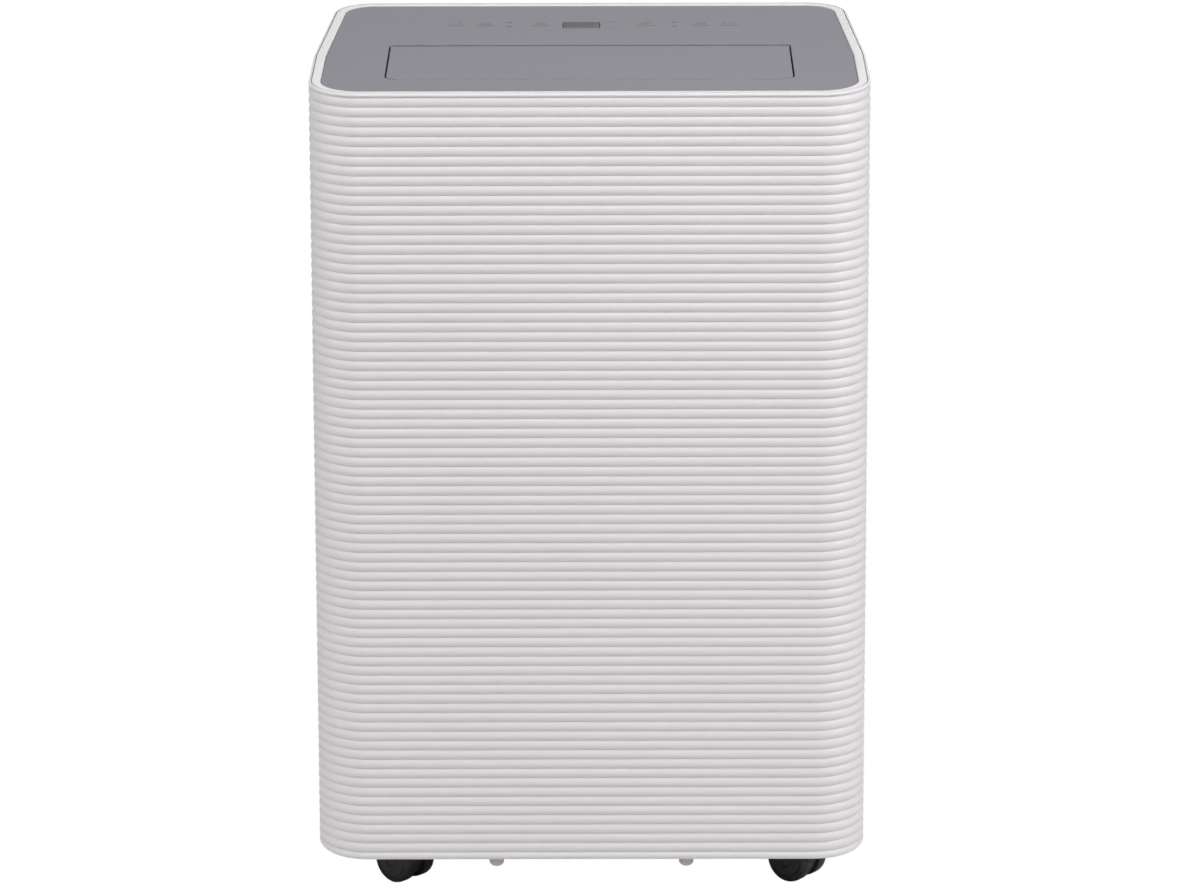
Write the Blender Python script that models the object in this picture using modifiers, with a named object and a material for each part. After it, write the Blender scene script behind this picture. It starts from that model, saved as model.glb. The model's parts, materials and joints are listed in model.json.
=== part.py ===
"""Portable air conditioner: cabinet on four twin-wheel casters, with its cooling circuit, fans and controls.

Metres, +Z up, front faces -Y. The origin is on the floor, under the middle of the cabinet.
"""

from math import cos, pi, radians, sin

import bmesh
import bpy
from mathutils import Matrix, Vector

# Cabinet
WIDTH = 0.450
REAR_WIDTH = 0.432
DEPTH = 0.360
HEIGHT = 0.685
FLOOR_GAP = 0.0425
WALL = 0.0026
RIM = 0.0097
RIM_THICKNESS = 0.004
FRONT_CORNER = (0.042, 0.051)
REAR_CORNER = (0.033, 0.041)
SEAM_Y = -0.032
CORNER_STEPS = 9
GAP = 0.0003

# Top panel, flap and display
PANEL_THICKNESS = 0.003
PANEL_DROP = 0.0008
FLAP_WIDTH = 0.327
FLAP_REAR_Y = 0.0085
FLAP_FRONT_Y = -0.1235
FLAP_THICKNESS = 0.004
FLAP_CORNER = 0.013
FLAP_SIDE_GAP = 0.0013
FLAP_REAR_GAP = 0.0034
HINGE_SETBACK = 0.0035
HINGE_DROP = 0.0065
PIN_RADIUS = 0.0020
RUNNING_GAP = 0.0001
DISPLAY_SIZE = (0.031, 0.026)
DISPLAY_AT = (-0.0074, 0.0907)

# Outlet duct and vanes
DUCT_DEPTH = 0.050
DUCT_WALL = 0.002
VANE_COUNT = 5
VANE_THICKNESS = 0.0016
VANE_HEIGHT = 0.024
VANE_PIVOT_DROP = 0.027
LINK_HEIGHT = 0.003
LINK_HALF_WIDTH = 0.002
PRONG = 0.0015
FORK_GAP = 0.0040

# Base, deck and coils
PAN_LIFT = 0.002
PAN_WALL = 0.0025
PAN_FLOOR = 0.003
PAN_HEIGHT = 0.020
DECK_Z = 0.404
DECK_THICKNESS = 0.004
COIL_THICKNESS = 0.036
COIL_REAR_GAP = 0.012
CONDENSER_SIZE = (0.340, 0.180)
EVAPORATOR_SIZE = (0.330, 0.205)

# Fans
UPPER_FAN_RADIUS = 0.072
LOWER_FAN_RADIUS = 0.068
FAN_LENGTH = 0.046
FAN_WALL = 0.002
BLADE_COUNT = 18
BLADE_THICKNESS = 0.001
BLADE_DEPTH = 0.010
SCROLL_GAP = 0.013
SCROLL_WALL = 0.002
SHAFT_RADIUS = 0.004
MOTOR_RADIUS = 0.036
MOTOR_LENGTH = 0.040

# Rear openings
WINDOW_WIDTH = 0.300
UPPER_WINDOW = (0.436, 0.622)
LOWER_WINDOW = (0.078, 0.234)
SLAT_PITCH = 0.013
SLAT_HEIGHT = 0.005
EXHAUST_RADIUS = 0.060
EXHAUST_AT = (0.070, 0.322)
COLLAR_WALL = 0.0025
DRAIN_RADIUS = 0.007
GRIP_SIZE = (0.100, 0.036)
GRIP_DEPTH = 0.022
GRIP_Z = 0.560
GRIP_Y = 0.045

# Casters and feet
CASTER_X = 0.163
REAR_CASTER_X = 0.150
FRONT_CASTER_Y = -0.097
REAR_CASTER_Y = 0.112
CASTER_TRAIL = 0.010
WHEEL_RADIUS = 0.0195
WHEEL_WIDTH = 0.012
WEB_WIDTH = 0.009
WEB_RADIUS = 0.0165
AXLE_RADIUS = 0.003
STEM_RADIUS = 0.0045
STEM_LENGTH = 0.018
FOOT_X = 0.078
FOOT_RADIUS = 0.006
FOOT_SETBACK = 0.016
FOOT_BOTTOM = 0.032

# Compressor, pipes and controls
COMPRESSOR_AT = (-0.110, -0.040)
COMPRESSOR_RADIUS = 0.056
COMPRESSOR_HEIGHT = 0.205
FEET_REACH = 0.056
GROMMET_RADIUS = 0.009
GROMMET_HEIGHT = 0.018
ACCUMULATOR_AT = (-0.190, -0.028)
ACCUMULATOR_RADIUS = 0.021
ACCUMULATOR_HEIGHT = 0.150
PIPE_X = 0.190
CONTROL_LOW = (0.020, -0.168, 0.240)
CONTROL_HIGH = (0.190, -0.110, 0.385)
KEY_ROW = 0.270
KEY_BOARD_DEPTH = 0.040
BOARD_THICKNESS = 0.0016
SHEET = 0.0015
CASE_WALL = 0.002
DISCHARGE_RADIUS = 0.004
SUCTION_RADIUS = 0.0045
LIQUID_RADIUS = 0.003
CAPACITOR_RADIUS = 0.020
CAPACITOR_HEIGHT = 0.0827

# Levels that follow from the sizes above
PAN_Z = FLOOR_GAP + PAN_LIFT
PAN_INSET = WALL + GAP
PANEL_TOP = HEIGHT - PANEL_DROP
PANEL_BOTTOM = PANEL_TOP - PANEL_THICKNESS
HINGE_Y = FLAP_REAR_Y - HINGE_SETBACK
HINGE_Z = PANEL_TOP - HINGE_DROP
OPENING_WIDTH = FLAP_WIDTH + 2 * FLAP_SIDE_GAP
OPENING_REAR_Y = FLAP_REAR_Y + FLAP_REAR_GAP
OPENING_FRONT_Y = FLAP_FRONT_Y - FLAP_SIDE_GAP
DUCT_TOP = PANEL_BOTTOM - GAP
DUCT_BOTTOM = DUCT_TOP - DUCT_DEPTH
REAR_Y = DEPTH / 2
COIL_REAR_Y = REAR_Y - WALL - COIL_REAR_GAP
COIL_FRONT_Y = COIL_REAR_Y - COIL_THICKNESS
DUCT_STEP = 0.002
FLAP_MOTOR_RADIUS = 0.010
FLAP_MOTOR_OFFSET = 0.0085
VANE_PIN_RADIUS = 0.0018
VANE_Z = PANEL_TOP - VANE_PIVOT_DROP
VANE_PLACES = [
    OPENING_WIDTH * (number / (VANE_COUNT + 1) - 0.5) for number in range(1, VANE_COUNT + 1)
]
COMPRESSOR_FEET_TOP = PAN_Z + PAN_FLOOR + GROMMET_HEIGHT
SCROLL_START = 0.007
SCROLL_END = 0.026
SCROLL_DEPTH = FAN_LENGTH + 2 * (SCROLL_WALL + 0.004)
UPPER_FAN_AT = (0.0, DECK_Z + DECK_THICKNESS + UPPER_FAN_RADIUS + SCROLL_END)
UPPER_SCROLL_Y = (-0.075, -0.075 + SCROLL_DEPTH)
LOWER_FAN_AT = (0.070, PAN_Z + PAN_HEIGHT + LOWER_FAN_RADIUS + SCROLL_END)
LOWER_SCROLL_Y = (0.030, 0.030 + SCROLL_DEPTH)
LOWER_SCROLL_TOP = EXHAUST_AT[1] - EXHAUST_RADIUS - 0.006
EXHAUST_DUCT_REAR = REAR_Y - WALL - 0.006
CONDENSER_BOTTOM = PAN_Z + PAN_FLOOR + GAP
EVAPORATOR_BOTTOM = DECK_Z + DECK_THICKNESS + GAP
LOWER_DRAIN_AT = (-0.167, 0.080)
UPPER_DRAIN_AT = (-0.120, 0.340)
GLAND_AT = (0.167, 0.095)
SOCKET_RADIUS = 0.009
SOCKET_HEIGHT = STEM_LENGTH + 0.002
CASTERS = {
    "front_left_caster": (-CASTER_X, FRONT_CASTER_Y, radians(228)),
    "front_right_caster": (CASTER_X, FRONT_CASTER_Y, radians(234)),
    "rear_left_caster": (-REAR_CASTER_X, REAR_CASTER_Y, radians(200)),
    "rear_right_caster": (REAR_CASTER_X, REAR_CASTER_Y, radians(215)),
}

for leftover in list(bpy.data.objects):
    bpy.data.objects.remove(leftover, do_unlink=True)

parts = bpy.data.collections.new("portable_air_conditioner")
cutters = bpy.data.collections.new("cutters")
cutters.hide_render = True
for group in (parts, cutters):
    bpy.context.scene.collection.children.link(group)


def material(name, colour, roughness, metallic=0.0):
    """A Principled material, made once for each name."""
    made = bpy.data.materials.get(name)
    if made is None:
        made = bpy.data.materials.new(name)
        made.use_nodes = True
        shader = made.node_tree.nodes["Principled BSDF"]
        shader.inputs["Base Color"].default_value = (*colour, 1.0)
        shader.inputs["Roughness"].default_value = roughness
        shader.inputs["Metallic"].default_value = metallic
    return made


WHITE_PLASTIC = material("white_plastic", (0.72, 0.71, 0.72), 0.45)
GREY_PLASTIC = material("grey_plastic", (0.27, 0.27, 0.29), 0.40)
DARK_WINDOW = material("dark_window", (0.14, 0.14, 0.16), 0.15)
BLACK_PLASTIC = material("black_plastic", (0.02, 0.02, 0.022), 0.5)
FOOT_GREY = material("foot_grey", (0.26, 0.25, 0.26), 0.6)
DUCT_PLASTIC = material("duct_plastic", (0.10, 0.10, 0.11), 0.6)
FAN_PLASTIC = material("fan_plastic", (0.05, 0.05, 0.055), 0.5)
FOAM = material("expanded_foam", (0.80, 0.80, 0.78), 0.9)
ALUMINIUM = material("aluminium_fins", (0.80, 0.81, 0.82), 0.35, 1.0)
COPPER = material("copper_tube", (0.72, 0.36, 0.20), 0.3, 1.0)
STEEL = material("galvanised_steel", (0.55, 0.56, 0.57), 0.4, 1.0)
BLACK_STEEL = material("black_painted_steel", (0.015, 0.015, 0.016), 0.35)
BOARD_GREEN = material("circuit_board", (0.02, 0.16, 0.06), 0.5)
CAPACITOR_GREY = material("capacitor_grey", (0.30, 0.30, 0.31), 0.4)
RUBBER = material("black_rubber", (0.02, 0.02, 0.02), 0.85)
FILTER_BLUE = material("filter_mesh", (0.05, 0.16, 0.22), 0.8)


def finish(obj, name, surface, parent=None):
    """Names the object, gives it its material and puts it in the parts collection."""
    for group in list(obj.users_collection):
        group.objects.unlink(obj)
    obj.name = name
    obj.data.name = name
    obj.data.materials.clear()
    obj.data.materials.append(surface)
    parts.objects.link(obj)
    if parent is not None:
        obj.parent = parent
        obj.matrix_parent_inverse = Matrix.Translation(parent.location).inverted()
    return obj


def from_bmesh(bm):
    """An unlinked object that holds the bmesh, with its faces turned outwards."""
    bmesh.ops.recalc_face_normals(bm, faces=bm.faces)
    mesh = bpy.data.meshes.new("work")
    bm.to_mesh(mesh)
    bm.free()
    return bpy.data.objects.new("work", mesh)


def box(low, high):
    """A box between two opposite corners."""
    bm = bmesh.new()
    bmesh.ops.create_cube(bm, size=1.0)
    low = Vector(low)
    high = Vector(high)
    place = Matrix.Translation((low + high) / 2) @ Matrix.Diagonal((*(high - low), 1.0))
    bmesh.ops.transform(bm, matrix=place, verts=bm.verts)
    return from_bmesh(bm)


def rod(radius, start, end, sides=20):
    """A cylinder between two points."""
    start = Vector(start)
    end = Vector(end)
    along = end - start
    bm = bmesh.new()
    bmesh.ops.create_cone(
        bm, cap_ends=True, segments=sides, radius1=radius, radius2=radius, depth=along.length
    )
    place = Matrix.Translation((start + end) / 2) @ along.to_track_quat("Z", "Y").to_matrix().to_4x4()
    bmesh.ops.transform(bm, matrix=place, verts=bm.verts)
    return from_bmesh(bm)


def plate(outline, bottom, top):
    """A flat outline in X and Y, filled and given the thickness between two levels."""
    curve = bpy.data.curves.new("work", "CURVE")
    curve.dimensions = "2D"
    curve.fill_mode = "BOTH"
    curve.extrude = (top - bottom) / 2
    spline = curve.splines.new("POLY")
    spline.points.add(len(outline) - 1)
    for point, (x, y) in zip(spline.points, outline):
        point.co = (x, y, 0.0, 1.0)
    spline.use_cyclic_u = True
    drawn = bpy.data.objects.new("work", curve)
    bm = bmesh.new()
    bm.from_mesh(bpy.data.meshes.new_from_object(drawn))
    bpy.data.objects.remove(drawn)
    bmesh.ops.remove_doubles(bm, verts=bm.verts, dist=1e-6)
    lift = Matrix.Translation((0.0, 0.0, (top + bottom) / 2))
    bmesh.ops.transform(bm, matrix=lift, verts=bm.verts)
    return from_bmesh(bm)


def upright(outline, front, rear):
    """A flat outline in X and Z, given the thickness between two depths."""
    obj = plate([(x, -z) for x, z in outline], front, rear)
    obj.data.transform(Matrix.Rotation(-pi / 2, 4, "X"))
    return obj


def tube(points, radius, sides=2):
    """A round pipe along the points, with closed ends."""
    curve = bpy.data.curves.new("work", "CURVE")
    curve.dimensions = "3D"
    curve.bevel_depth = radius
    curve.bevel_resolution = sides
    curve.use_fill_caps = True
    spline = curve.splines.new("POLY")
    spline.points.add(len(points) - 1)
    for point, place in zip(spline.points, points):
        point.co = (*place, 1.0)
    drawn = bpy.data.objects.new("work", curve)
    bm = bmesh.new()
    bm.from_mesh(bpy.data.meshes.new_from_object(drawn))
    bpy.data.objects.remove(drawn)
    bmesh.ops.remove_doubles(bm, verts=bm.verts, dist=1e-6)
    return from_bmesh(bm)


def combine(obj, other, operation):
    """Adds an exact Boolean and keeps its second shape, hidden, in the cutters collection."""
    other.hide_render = True
    other.display_type = "WIRE"
    cutters.objects.link(other)
    modifier = obj.modifiers.new(operation.lower(), "BOOLEAN")
    modifier.operation = operation
    modifier.solver = "EXACT"
    modifier.object = other
    return obj


def cut(obj, *others):
    """Takes each other shape out of the object."""
    for other in others:
        combine(obj, other, "DIFFERENCE")
    return obj


def join(obj, *others):
    """Adds each other shape to the object."""
    for other in others:
        combine(obj, other, "UNION")
    return obj


def several(shapes):
    """Puts separate shapes into one mesh, for one Boolean."""
    bm = bmesh.new()
    for shape in shapes:
        bm.from_mesh(shape.data)
        bpy.data.objects.remove(shape)
    return from_bmesh(bm)


def arc(centre, radii, start, end, steps):
    """Points on an elliptical arc, from one angle to another."""
    points = []
    for step in range(steps + 1):
        angle = start + (end - start) * step / steps
        points.append((centre[0] + radii[0] * cos(angle), centre[1] + radii[1] * sin(angle)))
    return points


def mirrored(points):
    """The same outline on the other side, in the other order."""
    return [(-x, y) for x, y in reversed(points)]


def front_corner(inset):
    """The right front corner of the plan, from the front face to the side."""
    centre = (WIDTH / 2 - FRONT_CORNER[0], -DEPTH / 2 + FRONT_CORNER[1])
    radii = (FRONT_CORNER[0] - inset, FRONT_CORNER[1] - inset)
    return arc(centre, radii, -pi / 2, 0, CORNER_STEPS)


def rear_corner(inset):
    """The right rear corner of the plan, from the side to the rear face."""
    centre = (REAR_WIDTH / 2 - REAR_CORNER[0], DEPTH / 2 - REAR_CORNER[1])
    radii = (REAR_CORNER[0] - inset, REAR_CORNER[1] - inset)
    return arc(centre, radii, 0, pi / 2, CORNER_STEPS)


def side_x(y):
    """How far out the cabinet's side is behind the seam, where the plan draws in."""
    run = DEPTH / 2 - REAR_CORNER[1] - SEAM_Y
    return WIDTH / 2 - (WIDTH - REAR_WIDTH) / 2 * (y - SEAM_Y) / run


def cabinet_outline(inset):
    """The cabinet's plan, drawn in by the inset."""
    right = front_corner(inset) + [(WIDTH / 2 - inset, SEAM_Y)] + rear_corner(inset)
    return right + mirrored(right)


def front_band(inset, thickness, back_off):
    """The plan of a wall round the front, which stops before the seam."""
    end = SEAM_Y - GAP / 2 - back_off
    bands = []
    for depth in (inset, inset + thickness):
        right = front_corner(depth) + [(WIDTH / 2 - depth, end)]
        bands.append(mirrored(right) + right)
    return bands[0] + bands[1][::-1]


def rear_band(inset, thickness, back_off):
    """The plan of a wall round the rear, which starts behind the seam."""
    start = SEAM_Y + GAP / 2 + back_off
    bands = []
    for depth in (inset, inset + thickness):
        right = [(side_x(start) - depth, start)] + rear_corner(depth)
        bands.append(right + mirrored(right))
    return bands[0] + bands[1][::-1]


def pivot(name, location, turn=0.0):
    """An empty on a joint's axis, which the moving piece is parented to."""
    empty = bpy.data.objects.new(name, None)
    empty.empty_display_size = 0.02
    empty.location = location
    empty.rotation_euler = (0.0, 0.0, turn)
    parts.objects.link(empty)
    return empty


def window_cutter(levels):
    """The cutter of a rear window between two levels."""
    return box((-WINDOW_WIDTH / 2, REAR_Y - 0.02, levels[0]), (WINDOW_WIDTH / 2, REAR_Y + 0.01, levels[1]))


def make_front_cover():
    """The front shell: a wall from the seam round the front, with a rim along its top."""
    cover = plate(front_band(0.0, WALL, 0.0), FLOOR_GAP, HEIGHT)
    rim_overlap = WALL / 2
    rim = plate(
        front_band(rim_overlap, RIM - rim_overlap, 0.0002),
        HEIGHT - RIM_THICKNESS,
        HEIGHT - 0.0004,
    )
    finish(join(cover, rim), "front_cover", WHITE_PLASTIC)


def make_rear_cover():
    """The rear shell, with its windows, the exhaust bore, the drain holes and the grip cut-outs."""
    cover = plate(rear_band(0.0, WALL, 0.0), FLOOR_GAP, HEIGHT)
    rim_overlap = WALL / 2
    rim = plate(
        rear_band(rim_overlap, RIM - rim_overlap, 0.0002),
        HEIGHT - RIM_THICKNESS,
        HEIGHT - 0.0004,
    )
    join(cover, rim)
    cut(cover, window_cutter(UPPER_WINDOW), window_cutter(LOWER_WINDOW))
    x, z = EXHAUST_AT
    bore = EXHAUST_RADIUS + COLLAR_WALL + GAP
    holes = [rod(bore, (x, REAR_Y - 0.02, z), (x, REAR_Y + 0.01, z), 40)]
    for place in (LOWER_DRAIN_AT, UPPER_DRAIN_AT, GLAND_AT):
        low = (place[0], REAR_Y - 0.02, place[1])
        holes.append(rod(DRAIN_RADIUS + GAP, low, (place[0], REAR_Y + 0.01, place[1]), 20))
    cut(cover, several(holes))
    reach = Vector((0.04, GRIP_SIZE[0] / 2 + GAP, GRIP_SIZE[1] / 2 + GAP))
    for side in (-1, 1):
        centre = Vector((side * WIDTH / 2, GRIP_Y, GRIP_Z))
        cut(cover, box(centre - reach, centre + reach))
    finish(cover, "rear_cover", WHITE_PLASTIC)


def make_grips():
    """A recessed hand grip in each side, made as a cup that opens outwards."""
    outer = side_x(GRIP_Y + GRIP_SIZE[0] / 2) - GAP
    inner = outer - GRIP_DEPTH
    half = Vector((GRIP_SIZE[0] / 2, GRIP_SIZE[1] / 2))
    wall = 0.002
    for side, name in ((-1, "grip_left"), (1, "grip_right")):
        ends = sorted((side * outer, side * inner))
        cup = box((ends[0], GRIP_Y - half.x, GRIP_Z - half.y), (ends[1], GRIP_Y + half.x, GRIP_Z + half.y))
        ends = sorted((side * (outer + 0.01), side * (inner + wall)))
        low = (ends[0], GRIP_Y - half.x + wall, GRIP_Z - half.y + wall)
        high = (ends[1], GRIP_Y + half.x - wall, GRIP_Z + half.y - wall)
        finish(cut(cup, box(low, high)), name, WHITE_PLASTIC)


def make_base_pan():
    """A moulded tray that carries the compressor and the coil, with a socket over each caster."""
    pan = plate(cabinet_outline(PAN_INSET), PAN_Z, PAN_Z + PAN_HEIGHT)
    cut(pan, plate(cabinet_outline(PAN_INSET + PAN_WALL), PAN_Z + PAN_FLOOR, PAN_Z + PAN_HEIGHT + 0.01))
    bosses = []
    holes = []
    for x, y, _ in CASTERS.values():
        bosses.append(rod(SOCKET_RADIUS, (x, y, PAN_Z + 0.001), (x, y, PAN_Z + SOCKET_HEIGHT)))
        top = PAN_Z + STEM_LENGTH
        holes.append(rod(STEM_RADIUS + RUNNING_GAP, (x, y, PAN_Z - 0.01), (x, y, top)))
    join(pan, several(bosses))
    cut(pan, several(holes))
    finish(pan, "base_pan", WHITE_PLASTIC)


def make_front_feet():
    """Two stops under the front edge, which limit a forward tip."""
    y = -DEPTH / 2 + FOOT_SETBACK
    for side, name in ((-1, "front_foot_left"), (1, "front_foot_right")):
        foot = rod(FOOT_RADIUS, (side * FOOT_X, y, FOOT_BOTTOM), (side * FOOT_X, y, PAN_Z - GAP), 16)
        finish(foot, name, FOOT_GREY)


def make_caster(name, x, y, turn):
    """A twin-wheel caster: a swivelling fork and, in its own pivot, the two wheels on their axle."""
    fork_top = PAN_Z - 0.0015
    swivel = pivot(name + "_swivel", (x, y, 0.0), turn)
    web_half = WEB_WIDTH / 2
    axle_z = WHEEL_RADIUS
    fork = rod(STEM_RADIUS, (0, 0, fork_top - 0.001), (0, 0, PAN_Z + STEM_LENGTH - 0.001))
    join(fork, rod(0.012, (0, 0, fork_top - 0.002), (0, 0, fork_top)))
    join(fork, box((-web_half, -0.008, axle_z), (web_half, CASTER_TRAIL + 0.008, fork_top - 0.001)))
    web = rod(WEB_RADIUS, (-web_half, CASTER_TRAIL, axle_z), (web_half, CASTER_TRAIL, axle_z), 24)
    join(fork, web)
    bore = AXLE_RADIUS + RUNNING_GAP
    cut(fork, rod(bore, (-web_half - 0.01, CASTER_TRAIL, axle_z), (web_half + 0.01, CASTER_TRAIL, axle_z)))
    finish(fork, name + "_fork", BLACK_PLASTIC)
    inner = web_half + GAP
    outer = inner + WHEEL_WIDTH
    wheels = rod(AXLE_RADIUS, (-outer + 0.002, CASTER_TRAIL, axle_z), (outer - 0.002, CASTER_TRAIL, axle_z))
    for low, high in ((-outer, -inner), (inner, outer)):
        join(wheels, rod(WHEEL_RADIUS, (low, CASTER_TRAIL, axle_z), (high, CASTER_TRAIL, axle_z), 28))
    finish(wheels, name + "_wheels", BLACK_PLASTIC)
    for piece in (fork, wheels):
        for shape in [piece, *(modifier.object for modifier in piece.modifiers)]:
            shape.parent = swivel


def make_top_panel():
    """The panel inside the rim, its display window and the board under its touch keys."""
    panel = plate(cabinet_outline(RIM + GAP), PANEL_BOTTOM, PANEL_TOP)
    low = PANEL_BOTTOM - 0.01
    high = PANEL_TOP + 0.01
    cut(panel, plate(flap_outline(FLAP_SIDE_GAP, OPENING_REAR_Y), low, high))
    half = Vector(DISPLAY_SIZE) / 2
    centre = Vector(DISPLAY_AT)
    cut(panel, box((*(centre - half), low), (*(centre + half), high)))
    finish(panel, "top_panel", GREY_PLASTIC)
    inner = half - Vector((GAP, GAP))
    lens = box((*(centre - inner), PANEL_BOTTOM), (*(centre + inner), PANEL_TOP))
    finish(lens, "display_lens", DARK_WINDOW)
    board_top = PANEL_BOTTOM - GAP
    reach = Vector((KEY_ROW / 2, KEY_BOARD_DEPTH / 2))
    middle = Vector((0.0, DISPLAY_AT[1]))
    board = box((*(middle - reach), board_top - BOARD_THICKNESS), (*(middle + reach), board_top))
    finish(board, "display_board", BOARD_GREEN)


def flap_outline(grow, rear_y):
    """The flap's plan, with large front corners, grown by a gap to give its opening."""
    half = FLAP_WIDTH / 2 + grow
    front = FLAP_FRONT_Y - grow
    radius = FLAP_CORNER + grow
    right = arc((half - radius, front + radius), (radius, radius), -pi / 2, 0, 6)
    right += arc((half - 0.002, rear_y - 0.002), (0.002, 0.002), 0, pi / 2, 2)
    return right + mirrored(right)


def make_flap():
    """The air flap, its lugs and pins, and the motor that turns it."""
    hinge = pivot("flap_hinge", (0.0, HINGE_Y, HINGE_Z))
    flap = plate(flap_outline(0.0, FLAP_REAR_Y), PANEL_TOP - FLAP_THICKNESS, PANEL_TOP)
    for side in (-1, 1):
        edge = FLAP_WIDTH / 2
        ends = sorted((side * (edge - 0.0045), side * (edge - 0.001)))
        low = (ends[0], HINGE_Y - 0.0028, HINGE_Z - 0.0028)
        high = (ends[1], HINGE_Y + 0.0028, PANEL_TOP - FLAP_THICKNESS + 0.001)
        join(flap, box(low, high))
        tip = side * (OPENING_WIDTH / 2 + DUCT_WALL - GAP)
        join(flap, rod(PIN_RADIUS, (side * (edge - 0.003), HINGE_Y, HINGE_Z), (tip, HINGE_Y, HINGE_Z), 16))
    finish(flap, "air_flap", GREY_PLASTIC, hinge)
    start = OPENING_WIDTH / 2 + DUCT_WALL + GAP
    motor_z = HINGE_Z - FLAP_MOTOR_OFFSET
    motor = rod(FLAP_MOTOR_RADIUS, (start, HINGE_Y, motor_z), (start + 0.016, HINGE_Y, motor_z), 20)
    finish(motor, "flap_motor", STEEL)


def make_outlet_duct():
    """An open box under the flap's opening, which carries the flap's pins and the vanes."""
    side = OPENING_WIDTH / 2
    front = OPENING_FRONT_Y
    rear = OPENING_REAR_Y + DUCT_STEP
    duct = box(
        (-side - DUCT_WALL, front - DUCT_WALL, DUCT_BOTTOM),
        (side + DUCT_WALL, rear + DUCT_WALL, DUCT_TOP),
    )
    cut(duct, box((-side, front, DUCT_BOTTOM + DUCT_WALL), (side, rear, DUCT_TOP + 0.01)))
    low = (SCROLL_WALL, UPPER_SCROLL_Y[0] + SCROLL_WALL, DUCT_BOTTOM - 0.01)
    scroll_right = UPPER_FAN_RADIUS + SCROLL_END - SCROLL_WALL
    high = (scroll_right, UPPER_SCROLL_Y[1] - SCROLL_WALL, DUCT_BOTTOM + 0.01)
    cut(duct, box(low, high))
    bore = PIN_RADIUS + RUNNING_GAP
    holes = []
    for start, end in ((-side - 0.01, -side + 0.001), (side - 0.001, side + 0.01)):
        holes.append(rod(bore, (start, HINGE_Y, HINGE_Z), (end, HINGE_Y, HINGE_Z), 16))
    for x in VANE_PLACES:
        radius = VANE_PIN_RADIUS + RUNNING_GAP
        holes.append(rod(radius, (x, front - 0.01, VANE_Z), (x, front + 0.001, VANE_Z), 12))
        holes.append(rod(radius, (x, rear - 0.001, VANE_Z), (x, rear + 0.01, VANE_Z), 12))
    cut(duct, several(holes))
    finish(duct, "outlet_duct", DUCT_PLASTIC)


def make_vanes():
    """Five upright vanes on pins through the duct's walls, and the link that swings them."""
    front = OPENING_FRONT_Y
    rear = OPENING_REAR_Y + DUCT_STEP
    half = VANE_THICKNESS / 2
    for number, x in enumerate(VANE_PLACES, 1):
        axis = pivot(f"vane_{number}_axis", (x, (front + rear) / 2, VANE_Z))
        low = (x - half, front + 0.001, VANE_Z - VANE_HEIGHT / 2)
        vane = box(low, (x + half, rear - 0.001, VANE_Z + VANE_HEIGHT / 2))
        reach = DUCT_WALL - GAP
        join(vane, rod(VANE_PIN_RADIUS, (x, front - reach, VANE_Z), (x, rear + reach, VANE_Z), 12))
        finish(vane, f"vane_{number}", DUCT_PLASTIC, axis)
    bar_y = (front + rear) / 2
    tip = VANE_Z - VANE_HEIGHT / 2
    bar_top = tip - 0.0015
    ends = FORK_GAP / 2 + 2 * PRONG
    link = box(
        (VANE_PLACES[0] - ends, bar_y - LINK_HALF_WIDTH, bar_top - LINK_HEIGHT),
        (VANE_PLACES[-1] + ends, bar_y + LINK_HALF_WIDTH, bar_top),
    )
    prongs = []
    for x in VANE_PLACES:
        for side in (-1, 1):
            near = x + side * FORK_GAP / 2
            far = near + side * PRONG
            low = (min(near, far), bar_y - LINK_HALF_WIDTH, bar_top - 0.001)
            prongs.append(box(low, (max(near, far), bar_y + LINK_HALF_WIDTH, tip + 0.0022)))
    join(link, several(prongs))
    finish(link, "vane_link", DUCT_PLASTIC)


def make_scroll(name, centre, radius, depths, top):
    """A snail-shaped fan housing, open at the top, with a round inlet behind and a shaft hole in front."""
    x, z = centre
    outlines = []
    for inset in (0.0, SCROLL_WALL):
        points = []
        steps = 30
        for step in range(steps + 1):
            share = step / steps
            reach = radius + SCROLL_START + (SCROLL_END - SCROLL_START) * share - inset
            angle = pi / 2 + 3 * pi / 2 * share
            points.append((x + reach * cos(angle), z + reach * sin(angle)))
        above = top + inset
        points += [(x + radius + SCROLL_END - inset, above), (x + inset, above)]
        outlines.append(points)
    scroll = upright(outlines[0][::-1], depths[0], depths[1])
    hollow = upright(outlines[1][::-1], depths[0] + SCROLL_WALL, depths[1] - SCROLL_WALL)
    cut(scroll, hollow)
    inlet = rod(radius - 0.010, (x, depths[1] - 0.01, z), (x, depths[1] + 0.01, z), 32)
    shaft = rod(SHAFT_RADIUS + 0.003, (x, depths[0] - 0.01, z), (x, depths[0] + 0.01, z), 16)
    cut(scroll, several([inlet, shaft]))
    finish(scroll, name, FOAM)


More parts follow.
